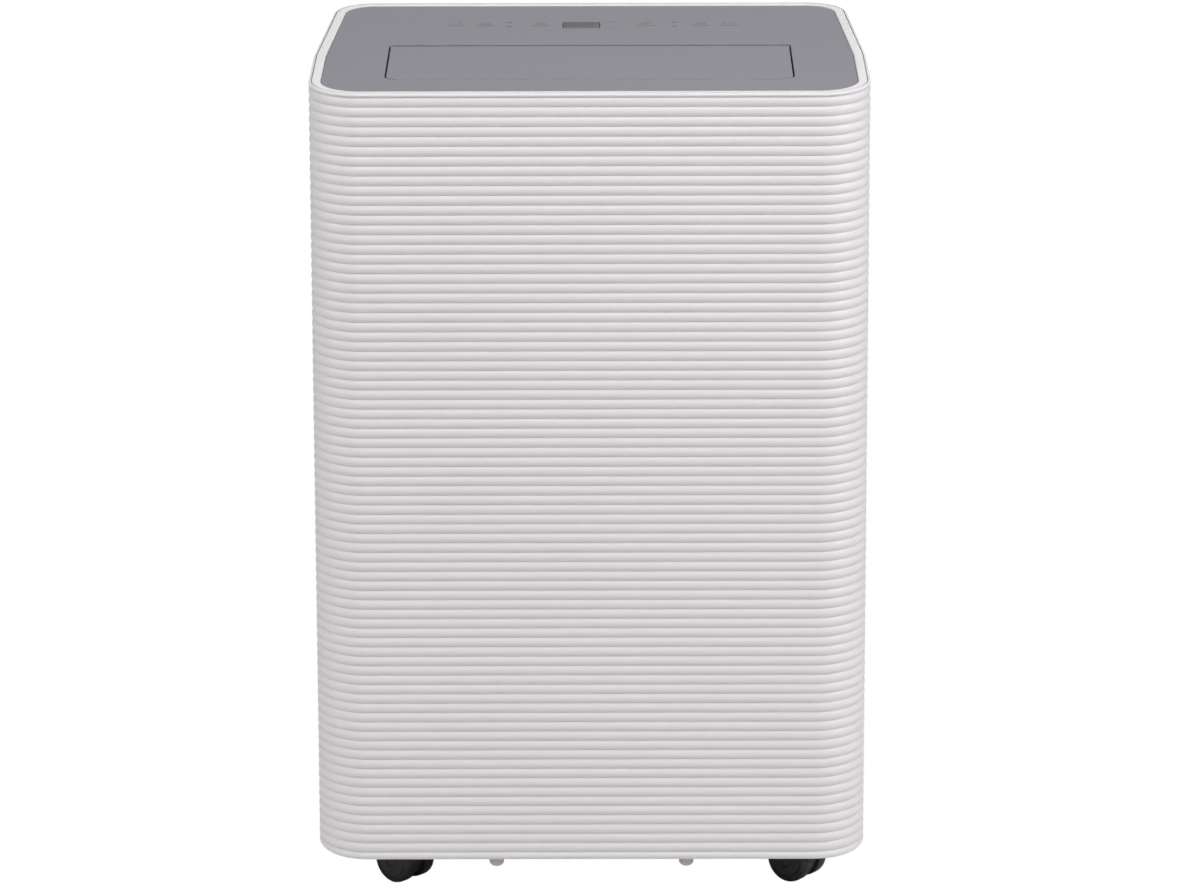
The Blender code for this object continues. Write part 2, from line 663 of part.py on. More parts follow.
def make_fan(name, centre, radius, depths, motor_name):
    """A centrifugal wheel on its motor's shaft: back disc, blades, front ring and hub."""
    x, z = centre
    clear = SCROLL_WALL + 0.004
    near = depths[0] + clear
    far = depths[1] - clear
    axis = pivot(name + "_axis", (x, (near + far) / 2, z))
    fan = rod(radius, (x, near, z), (x, near + FAN_WALL, z), 36)
    blades = []
    for number in range(BLADE_COUNT):
        low = (-BLADE_THICKNESS / 2, near + FAN_WALL / 2, radius - BLADE_DEPTH)
        blade = box(low, (BLADE_THICKNESS / 2, far - FAN_WALL / 2, radius - 0.0005))
        turn = Matrix.Rotation(2 * pi * number / BLADE_COUNT, 4, "Y")
        blade.data.transform(Matrix.Translation((x, 0.0, z)) @ turn)
        blades.append(blade)
    join(fan, several(blades))
    ring = rod(radius, (x, far - FAN_WALL, z), (x, far, z), 36)
    opening = rod(radius - BLADE_DEPTH - 0.001, (x, near + FAN_WALL + 0.001, z), (x, far + 0.01, z), 36)
    join(fan, ring)
    cut(fan, opening)
    join(fan, rod(0.010, (x, near + FAN_WALL / 2, z), (x, near + 0.018, z)))
    cut(fan, rod(SHAFT_RADIUS + RUNNING_GAP, (x, near - 0.01, z), (x, near + 0.03, z)))
    finish(fan, name, FAN_PLASTIC, axis)
    back = depths[0] - 0.002
    motor = rod(MOTOR_RADIUS, (x, back - MOTOR_LENGTH, z), (x, back, z), 32)
    join(motor, rod(SHAFT_RADIUS, (x, back - 0.002, z), (x, near + 0.016, z)))
    finish(motor, motor_name, STEEL)


def make_exhaust():
    """The box over the lower scroll, the round collar behind it and the finger guard in the collar."""
    x, z = EXHAUST_AT
    scroll_right = LOWER_FAN_AT[0] + LOWER_FAN_RADIUS + SCROLL_END
    bottom = LOWER_SCROLL_TOP + GAP
    front = LOWER_SCROLL_Y[0]
    low = Vector((x - EXHAUST_RADIUS - 0.006, front, bottom))
    high = Vector((scroll_right + 0.004, EXHAUST_DUCT_REAR, DECK_Z - 0.004))
    wall = Vector((DUCT_WALL, DUCT_WALL, DUCT_WALL))
    duct = cut(box(low, high), box(low + wall, high - wall))
    inlet_low = (LOWER_FAN_AT[0] + SCROLL_WALL, front + SCROLL_WALL, bottom - 0.01)
    inlet_high = (scroll_right - SCROLL_WALL, LOWER_SCROLL_Y[1] - SCROLL_WALL, bottom + 0.01)
    cut(duct, box(inlet_low, inlet_high))
    cut(duct, rod(EXHAUST_RADIUS, (x, high.y - 0.01, z), (x, high.y + 0.01, z), 40))
    finish(duct, "exhaust_duct", DUCT_PLASTIC)
    start = EXHAUST_DUCT_REAR + GAP
    end = REAR_Y - GAP
    collar = rod(EXHAUST_RADIUS + COLLAR_WALL, (x, start, z), (x, end, z), 40)
    cut(collar, rod(EXHAUST_RADIUS, (x, start - 0.01, z), (x, end + 0.01, z), 40))
    finish(collar, "exhaust_collar", WHITE_PLASTIC)
    reach = EXHAUST_RADIUS - GAP
    guard = rod(reach, (x, start + 0.001, z), (x, start + 0.004, z), 40)
    cut(guard, rod(reach - 0.003, (x, start - 0.01, z), (x, start + 0.01, z), 40))
    bars = []
    for number in range(-3, 4):
        height = z + number * EXHAUST_RADIUS / 4
        half = (reach**2 - (abs(height - z) + 0.001) ** 2) ** 0.5 - 0.0005
        low = (x - half, start + 0.0012, height - 0.001)
        bars.append(box(low, (x + half, start + 0.0038, height + 0.001)))
    join(guard, several(bars))
    low = (x - 0.001, start + 0.0014, z - reach + 0.001)
    join(guard, box(low, (x + 0.001, start + 0.0036, z + reach - 0.001)))
    finish(guard, "exhaust_guard", WHITE_PLASTIC)


def make_deck():
    """The drip tray under the evaporator, which divides the cabinet in two."""
    deck = plate(cabinet_outline(PAN_INSET), DECK_Z, DECK_Z + DECK_THICKNESS)
    slot = Vector((0.012, 0.030, 0.02))
    centre = Vector((-PIPE_X, COIL_FRONT_Y + COIL_THICKNESS / 2, DECK_Z))
    cut(deck, box(centre - slot, centre + slot))
    finish(deck, "mid_deck", FOAM)


def make_coils():
    """The two finned coils, as plain blocks of their outer size."""
    for name, size, bottom in (
        ("condenser_coil", CONDENSER_SIZE, CONDENSER_BOTTOM),
        ("evaporator_coil", EVAPORATOR_SIZE, EVAPORATOR_BOTTOM),
    ):
        half = size[0] / 2
        coil = box((-half, COIL_FRONT_Y, bottom), (half, COIL_REAR_Y, bottom + size[1]))
        finish(coil, name, ALUMINIUM)


def turned(profile, steps):
    """A turned solid from a profile at +X, top to bottom, with both ends on the axis."""
    bm = bmesh.new()
    points = [bm.verts.new((x, 0.0, z)) for x, z in profile]
    for start, end in zip(points, points[1:]):
        bm.edges.new((start, end))
    mesh = bpy.data.meshes.new("work")
    bm.to_mesh(mesh)
    bm.free()
    obj = bpy.data.objects.new("work", mesh)
    screw = obj.modifiers.new("turn", "SCREW")
    screw.steps = steps
    screw.render_steps = steps
    screw.use_merge_vertices = True
    screw.merge_threshold = 0.0001
    return obj


def domed_shell(radius, bottom, top, dome):
    """A drum's profile with domed ends."""
    profile = [(0.0, top)]
    for step in range(1, 5):
        angle = pi / 2 * (1 - step / 4)
        profile.append((radius * cos(angle), top - dome + dome * sin(angle)))
    for step in range(4):
        angle = pi / 2 * step / 4
        profile.append((radius * cos(angle), bottom + dome - dome * sin(angle)))
    profile.append((0.0, bottom))
    return profile


def make_compressor():
    """The compressor on its three rubber mounts, with the accumulator beside it."""
    x, y = COMPRESSOR_AT
    shell_bottom = COMPRESSOR_FEET_TOP + 0.002
    profile = domed_shell(COMPRESSOR_RADIUS, 0.0, COMPRESSOR_HEIGHT, 0.022)
    shell = turned(profile, 28)
    shell.location = (x, y, shell_bottom)
    legs = []
    for number in range(3):
        angle = radians(90 + 120 * number)
        spot = (x + FEET_REACH * cos(angle), y + FEET_REACH * sin(angle))
        foot = rod(GROMMET_RADIUS, (*spot, PAN_Z + PAN_FLOOR + GAP), (*spot, COMPRESSOR_FEET_TOP - GAP), 16)
        finish(foot, f"rubber_mount_{number + 1}", RUBBER)
        leg = box((0.0, -0.012, 0.0), (FEET_REACH + 0.012, 0.012, 0.004))
        leg.data.transform(Matrix.Translation((x, y, COMPRESSOR_FEET_TOP)) @ Matrix.Rotation(angle, 4, "Z"))
        legs.append(leg)
    for leg in legs:
        join(shell, leg)
    finish(shell, "compressor", BLACK_STEEL)
    ax, ay = ACCUMULATOR_AT
    accumulator = turned(domed_shell(ACCUMULATOR_RADIUS, 0.0, ACCUMULATOR_HEIGHT, 0.012), 20)
    accumulator.location = (ax, ay, shell_bottom + 0.02)
    finish(accumulator, "accumulator", BLACK_STEEL)


def make_pipes():
    """The refrigerant lines, which meet the coils, the compressor and the accumulator end to end."""
    x, y = COMPRESSOR_AT
    ax, ay = ACCUMULATOR_AT
    shell_bottom = COMPRESSOR_FEET_TOP + 0.002
    top = shell_bottom + COMPRESSOR_HEIGHT
    coil_y = (COIL_FRONT_Y + COIL_REAR_Y) / 2
    condenser_end = -CONDENSER_SIZE[0] / 2 - GAP
    evaporator_end = -EVAPORATOR_SIZE[0] / 2 - GAP
    condenser_top = CONDENSER_BOTTOM + CONDENSER_SIZE[1]
    rise = 0.03
    discharge = [
        (x, y, top + GAP),
        (x, y, top + rise),
        (x, coil_y, top + rise),
        (-PIPE_X, coil_y, top + rise),
        (-PIPE_X, coil_y, condenser_top - 0.02),
        (condenser_end, coil_y, condenser_top - 0.02),
    ]
    finish(tube(discharge, DISCHARGE_RADIUS), "discharge_pipe", COPPER)
    accumulator_top = shell_bottom + 0.02 + ACCUMULATOR_HEIGHT
    rear_y = coil_y + 0.012
    suction = [
        (ax, ay, accumulator_top + GAP),
        (ax, ay, top + 2 * rise),
        (ax, rear_y, top + 2 * rise),
        (-PIPE_X, rear_y, top + 2 * rise + 0.01),
        (-PIPE_X, rear_y, EVAPORATOR_BOTTOM + 0.03),
        (evaporator_end, rear_y, EVAPORATOR_BOTTOM + 0.03),
    ]
    finish(tube(suction, SUCTION_RADIUS), "suction_pipe", COPPER)
    front_y = coil_y - 0.014
    liquid_x = -PIPE_X + 0.0085
    liquid = [
        (condenser_end, front_y, CONDENSER_BOTTOM + 0.02),
        (liquid_x, front_y, CONDENSER_BOTTOM + 0.02),
        (liquid_x, front_y, EVAPORATOR_BOTTOM + 0.06),
        (evaporator_end, front_y, EVAPORATOR_BOTTOM + 0.06),
    ]
    finish(tube(liquid, LIQUID_RADIUS), "liquid_pipe", COPPER)


def make_control_box():
    """A folded sheet case with its cover, the main board and the run capacitor."""
    low = Vector(CONTROL_LOW)
    high = Vector(CONTROL_HIGH)
    wall = Vector((CASE_WALL, CASE_WALL, CASE_WALL))
    case = box(low, high)
    cut(case, box((low + wall) - Vector((0.0, 0.02, 0.0)), high - wall))
    finish(case, "control_box", STEEL)
    cover = box((low.x, low.y - GAP - SHEET, low.z), (high.x, low.y - GAP, high.z))
    finish(cover, "control_box_cover", STEEL)
    board_rear = high.y - CASE_WALL - GAP
    board = box(
        (low.x + 0.008, board_rear - BOARD_THICKNESS, low.z + 0.008),
        (high.x - 2 * CAPACITOR_RADIUS - 0.015, board_rear, high.z - 0.008),
    )
    finish(board, "main_board", BOARD_GREEN)
    x = high.x - CAPACITOR_RADIUS - 0.008
    y = (low.y + high.y) / 2
    floor = low.z + CASE_WALL + GAP
    can = rod(CAPACITOR_RADIUS, (x, y, floor), (x, y, floor + CAPACITOR_HEIGHT), 24)
    finish(can, "run_capacitor", CAPACITOR_GREY)


def make_intake(name, levels):
    """A rear grille that pulls straight off, with the dust filter clipped behind it."""
    face = REAR_Y - GAP
    half = WINDOW_WIDTH / 2 - GAP
    low = levels[0] + GAP
    high = levels[1] - GAP
    axis = pivot(name + "_intake", (0.0, face, (low + high) / 2))
    bar = 0.008
    grille = box((-half, face - 0.005, low), (half, face, high))
    cut(grille, box((-half + bar, face - 0.02, low + bar), (half - bar, face + 0.01, high - bar)))
    slats = []
    count = int((high - low - 2 * bar) / SLAT_PITCH)
    start = (low + high) / 2 - (count - 1) * SLAT_PITCH / 2
    for number in range(count):
        z = start + number * SLAT_PITCH - SLAT_HEIGHT / 2
        low_end = (-half + bar - 0.001, face - 0.0045, z)
        slats.append(box(low_end, (half - bar + 0.001, face - 0.0005, z + SLAT_HEIGHT)))
    join(grille, several(slats))
    finish(grille, name + "_grille", WHITE_PLASTIC, axis)
    back = face - 0.005 - GAP
    margin = 0.001
    frame = box((-half + margin, back - 0.003, low + margin), (half - margin, back, high - margin))
    inner_low = (-half + margin + 0.006, back - 0.01, low + margin + 0.006)
    inner_high = (half - margin - 0.006, back - 0.002, high - margin - 0.006)
    cut(frame, box(inner_low, inner_high))
    finish(frame, name + "_filter", FILTER_BLUE, axis)


def make_plugs():
    """The two rubber drain plugs and the gland that the power cord leaves by."""
    face = REAR_Y - GAP
    for name, place in (("drain_plug", LOWER_DRAIN_AT), ("drain_cap", UPPER_DRAIN_AT)):
        x, z = place
        axis = pivot(name + "_axis", (x, face, z))
        plug = rod(DRAIN_RADIUS, (x, face - 0.010, z), (x, face, z), 20)
        cut(plug, rod(DRAIN_RADIUS - 0.002, (x, face - 0.003, z), (x, face + 0.01, z), 20))
        reach = DRAIN_RADIUS - 0.001
        join(plug, box((x - reach, face - 0.004, z - 0.001), (x + reach, face - 0.0004, z + 0.001)))
        finish(plug, name, RUBBER, axis)
    x, z = GLAND_AT
    gland = rod(DRAIN_RADIUS, (x, face - 0.012, z), (x, face, z), 20)
    cut(gland, rod(0.0035, (x, face - 0.02, z), (x, face + 0.01, z), 16))
    finish(gland, "cord_gland", BLACK_PLASTIC)


make_front_cover()
make_rear_cover()
make_grips()
make_base_pan()
make_front_feet()
for caster, (caster_x, caster_y, caster_turn) in CASTERS.items():
    make_caster(caster, caster_x, caster_y, caster_turn)
make_top_panel()
make_flap()
make_outlet_duct()
make_vanes()
make_scroll("upper_scroll", UPPER_FAN_AT, UPPER_FAN_RADIUS, UPPER_SCROLL_Y, DUCT_BOTTOM - GAP)
make_fan("upper_fan", UPPER_FAN_AT, UPPER_FAN_RADIUS, UPPER_SCROLL_Y, "upper_fan_motor")
make_scroll("lower_scroll", LOWER_FAN_AT, LOWER_FAN_RADIUS, LOWER_SCROLL_Y, LOWER_SCROLL_TOP)
make_fan("lower_fan", LOWER_FAN_AT, LOWER_FAN_RADIUS, LOWER_SCROLL_Y, "lower_fan_motor")
make_exhaust()
make_deck()
make_coils()
make_compressor()
make_pipes()
make_control_box()
make_intake("upper", UPPER_WINDOW)
make_intake("lower", LOWER_WINDOW)
make_plugs()
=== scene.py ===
"""Portable air conditioner: the finished look of every piece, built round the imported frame."""

from math import cos, pi, radians, sin

import bmesh
import bpy
from mathutils import Matrix, Vector
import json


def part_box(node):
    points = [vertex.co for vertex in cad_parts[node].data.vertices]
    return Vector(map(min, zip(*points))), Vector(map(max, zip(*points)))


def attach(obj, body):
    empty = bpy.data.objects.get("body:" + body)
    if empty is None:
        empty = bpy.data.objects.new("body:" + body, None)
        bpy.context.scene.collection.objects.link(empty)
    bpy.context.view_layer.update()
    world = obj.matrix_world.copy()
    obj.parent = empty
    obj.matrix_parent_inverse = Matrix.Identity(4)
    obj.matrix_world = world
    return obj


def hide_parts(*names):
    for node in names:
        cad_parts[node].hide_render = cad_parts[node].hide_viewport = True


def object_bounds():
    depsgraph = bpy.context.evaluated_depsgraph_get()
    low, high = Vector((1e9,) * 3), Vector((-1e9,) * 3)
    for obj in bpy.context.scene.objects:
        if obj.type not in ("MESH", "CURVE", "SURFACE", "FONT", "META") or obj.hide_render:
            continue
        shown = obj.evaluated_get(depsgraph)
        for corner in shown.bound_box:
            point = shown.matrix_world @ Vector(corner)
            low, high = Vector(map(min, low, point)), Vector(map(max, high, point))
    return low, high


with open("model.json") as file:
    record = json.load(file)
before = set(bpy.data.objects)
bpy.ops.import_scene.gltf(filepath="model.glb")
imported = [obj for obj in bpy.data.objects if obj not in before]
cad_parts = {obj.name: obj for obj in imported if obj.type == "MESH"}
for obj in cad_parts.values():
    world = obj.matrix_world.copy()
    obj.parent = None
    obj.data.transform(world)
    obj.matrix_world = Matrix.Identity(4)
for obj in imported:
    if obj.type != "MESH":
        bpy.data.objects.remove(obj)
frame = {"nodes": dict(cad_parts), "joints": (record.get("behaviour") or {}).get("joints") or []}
cad_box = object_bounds()


# Studio: a pale floor, a white surround, one large soft light above the front and weaker ones
# at the sides and behind, and a long lens that looks down on the top panel.
FLOOR_COLOUR = (0.78, 0.78, 0.79, 1.0)
CAMERA_DISTANCE = 4.9426
CAMERA_ABOVE_TOP = 1.0414
CAMERA_TILT = 0.2722
CAMERA_TURN = 0.0032
CAMERA_ROLL = -0.0027
LENS = 187.1
SURROUND_LIGHT = 0.38
WHITE = (1.0, 1.0, 1.0, 1.0)


def white_to_camera(tree, lit, white, end):
    """The camera sees plain white, while the object still gets the light that was there."""
    seen = tree.nodes.new("ShaderNodeLightPath")
    mixed = tree.nodes.new("ShaderNodeMixShader")
    white.inputs["Color"].default_value = WHITE
    white.inputs["Strength"].default_value = 1.0
    tree.links.new(seen.outputs["Is Camera Ray"], mixed.inputs[0])
    tree.links.new(lit.outputs[0], mixed.inputs[1])
    tree.links.new(white.outputs[0], mixed.inputs[2])
    tree.links.new(mixed.outputs[0], end.inputs["Surface"])


top_z = cad_box[1][2]
camera = bpy.data.objects.new("camera", bpy.data.cameras.new("camera"))
camera.data.lens = LENS
camera.data.sensor_width = 36.0
camera.data.clip_end = 50.0
stand = Matrix.Rotation(CAMERA_TURN, 4, "Z") @ Matrix.Translation(
    (0.0, -CAMERA_DISTANCE, top_z + CAMERA_ABOVE_TOP)
)
tilt = Matrix.Rotation(pi / 2 - CAMERA_TILT, 4, "X")
camera.matrix_world = stand @ tilt @ Matrix.Rotation(CAMERA_ROLL, 4, "Z")
bpy.context.scene.collection.objects.link(camera)
bpy.context.scene.camera = camera
bpy.context.scene.view_settings.view_transform = "Standard"

floor_mesh = bpy.data.meshes.new("floor")
bm = bmesh.new()
bmesh.ops.create_grid(bm, x_segments=1, y_segments=1, size=12.0)
bm.to_mesh(floor_mesh)
bm.free()
floor = bpy.data.objects.new("floor", floor_mesh)
bpy.context.scene.collection.objects.link(floor)
floor_paint = bpy.data.materials.new("floor")
floor_paint.use_nodes = True
nodes = floor_paint.node_tree.nodes
nodes["Principled BSDF"].inputs["Base Color"].default_value = FLOOR_COLOUR
nodes["Principled BSDF"].inputs["Roughness"].default_value = 0.9
paper = nodes.new("ShaderNodeEmission")
white_to_camera(floor_paint.node_tree, nodes["Principled BSDF"], paper, nodes["Material Output"])
floor_mesh.materials.append(floor_paint)

world = bpy.data.worlds.new("studio")
world.use_nodes = True
nodes = world.node_tree.nodes
nodes["Background"].inputs["Color"].default_value = WHITE
nodes["Background"].inputs["Strength"].default_value = SURROUND_LIGHT
backdrop = nodes.new("ShaderNodeBackground")
white_to_camera(world.node_tree, nodes["Background"], backdrop, nodes["World Output"])
bpy.context.scene.world = world
for name, place, aim, size, power in (
    ("key_light", (0.25, -1.5, 3.0), (0.0, 0.0, 0.62), 1.5, 36.0),
    ("right_light", (2.3, -0.9, 1.9), (0.0, 0.0, 0.62), 1.1, 28.0),
    ("left_light", (-2.3, -0.7, 1.9), (0.0, 0.0, 0.62), 1.1, 18.0),
    ("rear_light", (0.3, 2.4, 3.0), (0.0, 0.0, 0.40), 1.6, 15.0),
):
    light = bpy.data.objects.new(name, bpy.data.lights.new(name, "AREA"))
    light.data.size = size
    light.data.energy = power
    light.location = place
    light.rotation_euler = (Vector(place) - Vector(aim)).to_track_quat("Z", "Y").to_euler()
    bpy.context.scene.collection.objects.link(light)


# Cabinet covers: two injection-moulded white ABS shells, front and rear, which meet at a seam down
# each side and along the rim. Fine level ribs run right round them, and a smooth rim closes the top.
class Signal:
    """One output of a material's nodes. Arithmetic on it adds the nodes that work it out."""

    def __init__(self, tree, socket):
        self.tree = tree
        self.socket = socket

    def node(self, kind, settings, inputs, output=0):
        """Adds any node: its type, its settings, then the values or links of its sockets."""
        made = self.tree.nodes.new(kind)
        for name, value in settings.items():
            if name == "stops":
                ramp = made.color_ramp
                for stop, (at, colour) in zip(range(len(value)), value):
                    point = ramp.elements[stop] if stop < 2 else ramp.elements.new(at)
                    point.position = at
                    point.color = colour
            else:
                setattr(made, name, value)
        for name, value in inputs.items():
            plug(self.tree, made.inputs[name], value)
        return Signal(self.tree, made.outputs[output])

    def math(self, operation, *terms):
        """A Math node on any terms."""
        return self.node("ShaderNodeMath", {"operation": operation}, dict(enumerate(terms)))

    def __add__(self, other):
        return self.math("ADD", self, other)

    def __sub__(self, other):
        return self.math("SUBTRACT", self, other)

    def __rsub__(self, other):
        return self.math("SUBTRACT", other, self)

    def __mul__(self, other):
        return self.math("MULTIPLY", self, other)

    def __truediv__(self, other):
        return self.math("DIVIDE", self, other)

    def __gt__(self, other):
        return self.math("GREATER_THAN", self, other)

    def __lt__(self, other):
        return self.math("LESS_THAN", self, other)

    __radd__ = __add__
    __rmul__ = __mul__

    def blend(self, low, high):
        """A colour between two, by this signal."""
        settings = {"data_type": "RGBA"}
        return self.node("ShaderNodeMix", settings, {0: self, 6: low, 7: high}, 2)


def plug(tree, socket, value):
    """Links a signal to a socket, or sets the socket to a plain value."""
    if isinstance(value, Signal):
        tree.links.new(value.socket, socket)
    elif socket.type == "RGBA" and len(value) == 3:
        socket.default_value = (*value, 1.0)
    else:
        socket.default_value = value


def finish(name, **values):
    """A new material, its Principled shader's plain values, and the piece's own coordinates."""
    made = bpy.data.materials.new(name)
    made.use_nodes = True
    tree = made.node_tree
    shader = tree.nodes["Principled BSDF"]
    for socket, value in values.items():
        plug(tree, shader.inputs[socket.replace("_", " ")], value)
    place = Signal(tree, tree.nodes.new("ShaderNodeTexCoord").outputs["Object"])
    return made, place


def feed(material, socket, value):
    """Plugs a signal or a value into a material's Principled shader."""
    plug(material.node_tree, material.node_tree.nodes["Principled BSDF"].inputs[socket], value)


def grain(place, scale, detail=2.0, roughness=0.5):
    """Noise of a given number of lumps in a metre."""
    return place.node(
        "ShaderNodeTexNoise", {}, {"Vector": place, "Scale": scale, "Detail": detail, "Roughness": roughness}
    )


def bumped(material, height, distance, strength=1.0):
    """Feeds a height in 0 to 1, of so many metres, into the material's normal."""
    bump = height.node("ShaderNodeBump", {}, {"Height": height, "Distance": distance, "Strength": strength})
    feed(material, "Normal", bump)


def moulded_plastic(name, colour, roughness, texture_depth=0.00003, mottle=0.015):
    """Moulded plastic: fine spark-eroded grain, and slight flow marks in the colour and the gloss."""
    made, place = finish(name, Base_Color=colour, Roughness=roughness)
    fine = grain(place, 1400.0)
    broad = grain(place, 9.0, 3.0)
    dark = tuple(channel * (1.0 - mottle) for channel in colour)
    light = tuple(min(1.0, channel * (1.0 + mottle)) for channel in colour)
    feed(made, "Base Color", broad.blend(dark, light))
    feed(made, "Roughness", roughness - 0.05 + fine * 0.05 + broad * 0.05)
    bumped(made, fine, texture_depth)
    return made


def new_piece(name, mesh, material, body, slot, *replaced):
    """Puts a finished mesh in the scene, on its body, in place of the CAD nodes it stands for."""
    piece = bpy.data.objects.new(name, mesh)
    mesh.materials.clear()
    mesh.materials.append(material)
    bpy.context.scene.collection.objects.link(piece)
    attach(piece, body)
    if replaced:
        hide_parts(*replaced)
    return piece


def corner_arc(centre, radii, start, end, steps):
    """Points on an elliptical arc."""
    turns = [start + (end - start) * step / steps for step in range(steps + 1)]
    return [(centre[0] + radii[0] * cos(turn), centre[1] + radii[1] * sin(turn)) for turn in turns]


def geometry_tree(name, sockets):
    """A new Geometry Nodes tree with named inputs, and a signal for each of them."""
    tree = bpy.data.node_groups.new(name, "GeometryNodeTree")
    tree.interface.new_socket("Geometry", in_out="OUTPUT", socket_type="NodeSocketGeometry")
    start = tree.nodes.new("NodeGroupInput")
    signals = {}
    for label, kind in sockets.items():
        tree.interface.new_socket(label, in_out="INPUT", socket_type="NodeSocket" + kind)
    for label in sockets:
        signals[label] = Signal(tree, start.outputs[label])
    return tree, signals


def close_tree(tree, geometry, material):
    """Ends a tree with realised instances that carry their material."""
    real = geometry.node("GeometryNodeRealizeInstances", {}, {"Geometry": geometry})
    painted = real.node("GeometryNodeSetMaterial", {}, {"Geometry": real, "Material": material})
    end = tree.nodes.new("NodeGroupOutput")
    tree.links.new(painted.socket, end.inputs["Geometry"])


def grown(source, tree, values):
    """Runs a tree on an object and gives the result as a plain mesh. The source is removed."""
    bpy.context.scene.collection.objects.link(source)
    modifier = source.modifiers.new("growth", "NODES")
    modifier.node_group = tree
    for item in tree.interface.items_tree:
        if item.item_type == "SOCKET" and item.in_out == "INPUT" and item.name in values:
            modifier[item.identifier] = values[item.name]
    graph = bpy.context.evaluated_depsgraph_get()
    mesh = bpy.data.meshes.new_from_object(source.evaluated_get(graph), depsgraph=graph)
    source.modifiers.remove(modifier)
    bpy.data.objects.remove(source)
    return mesh


def tidied(mesh, crease):
    """Merges doubles, turns the faces outwards and shades smooth up to an angle."""
    bm = bmesh.new()
    bm.from_mesh(mesh)
    bmesh.ops.remove_doubles(bm, verts=bm.verts, dist=1e-6)
    bmesh.ops.recalc_face_normals(bm, faces=bm.faces)
    bm.to_mesh(mesh)
    bm.free()
    mesh.shade_smooth()
    mesh.set_sharp_from_angle(angle=crease)
    return mesh


def path(points, closed=False):
    """A curve object through level points, whose normals stay level."""
    curve = bpy.data.curves.new("path", "CURVE")
    curve.dimensions = "3D"
    curve.twist_mode = "Z_UP"
    spline = curve.splines.new("POLY")
    spline.points.add(len(points) - 1)
    for point, (x, y) in zip(spline.points, points):
        point.co = (x, y, 0.0, 1.0)
    spline.use_cyclic_u = closed
    return bpy.data.objects.new("path", curve)


RIBS = 79
STEPS_PER_RIB = 8
RIB_DEPTH = 0.0017
RIB_FULLNESS = 2.2
SHELL_WALL = 0.0026
RIM_BAND = 0.0034
FOOT_BAND = 0.0062
RIM_WIDTH = 0.0097
RIM_HEIGHT = 0.0036
RIM_EDGE = 0.0010
FRONT_CORNER = (0.042, 0.051)
REAR_CORNER = (0.033, 0.041)
REAR_WIDTH = 0.432
PLAN_STEPS = 16
SHELL_WHITE = (0.76, 0.735, 0.75)

front_low, front_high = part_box("front_cover")
rear_low, rear_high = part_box("rear_cover")
half_width = front_high.x
depth_half = rear_high.y


def front_plan(inset):
    """The front shell's outline from seam to seam, drawn in by an inset."""
    centre = (half_width - FRONT_CORNER[0], -depth_half + FRONT_CORNER[1])
    radii = (FRONT_CORNER[0] - inset, FRONT_CORNER[1] - inset)
    right = corner_arc(centre, radii, -pi / 2, 0.0, PLAN_STEPS) + [(half_width - inset, front_high.y)]
    return [(-x, y) for x, y in reversed(right)] + right


def rear_plan(inset):
    """The rear shell's outline from seam to seam, drawn in by an inset."""
    centre = (REAR_WIDTH / 2 - REAR_CORNER[0], depth_half - REAR_CORNER[1])
    radii = (REAR_CORNER[0] - inset, REAR_CORNER[1] - inset)
    right = [(half_width - inset, rear_low.y)] + corner_arc(centre, radii, 0.0, pi / 2, PLAN_STEPS)
    return right + [(-x, y) for x, y in reversed(right)]


ribbed_wall, rib = geometry_tree(
    "ribbed_wall",
    {
        "Plan": "Geometry",
        "Ribs": "Int",
        "Steps": "Int",
        "Bottom": "Float",
        "Pitch": "Float",
        "Depth": "Float",
        "Fullness": "Float",
        "Wall": "Float",
        "Foot Band": "Float",
        "Rim Band": "Float",
        "Material": "Material",
    },
)
count = (rib["Ribs"] + 2) * rib["Steps"] + 3
line = count.node("GeometryNodeMeshLine", {"mode": "OFFSET"}, {"Count": count})
index = count.node("GeometryNodeInputIndex", {}, {})
along = (index - 1) / rib["Steps"] - 1
inner_end = (index < 0.5) + (index > (count - 1.5))
whole = along.math("MINIMUM", along.math("MAXIMUM", along, 0.0), rib["Ribs"])
under = along.math("MINIMUM", along, 0.0)
under = under.math("MAXIMUM", under, -1.0)
over = along.math("MAXIMUM", along - rib["Ribs"], 0.0)
over = over.math("MINIMUM", over, 1.0)
height = rib["Bottom"] + rib["Foot Band"] * (under + 1) + rib["Pitch"] * whole + rib["Rim Band"] * over
phase = along.math("FRACT", along + 0.000001)
swing = phase.math("ABSOLUTE", phase * 2 - 1)
inset = rib["Depth"] * swing.math("POWER", swing, rib["Fullness"])
inset = inset + inner_end * (rib["Wall"] - inset)
point = height.node("ShaderNodeCombineXYZ", {}, {"X": inset * -1, "Y": height * -1})
section = line.node("GeometryNodeSetPosition", {}, {"Geometry": line, "Position": point})
section = section.node("GeometryNodeMeshToCurve", {}, {"Mesh": section})
section = section.node("GeometryNodeSetSplineCyclic", {}, {"Geometry": section, "Cyclic": True})
swept = section.node(
    "GeometryNodeCurveToMesh", {}, {"Curve": rib["Plan"], "Profile Curve": section, "Fill Caps": True}
)
close_tree(ribbed_wall, swept, rib["Material"])


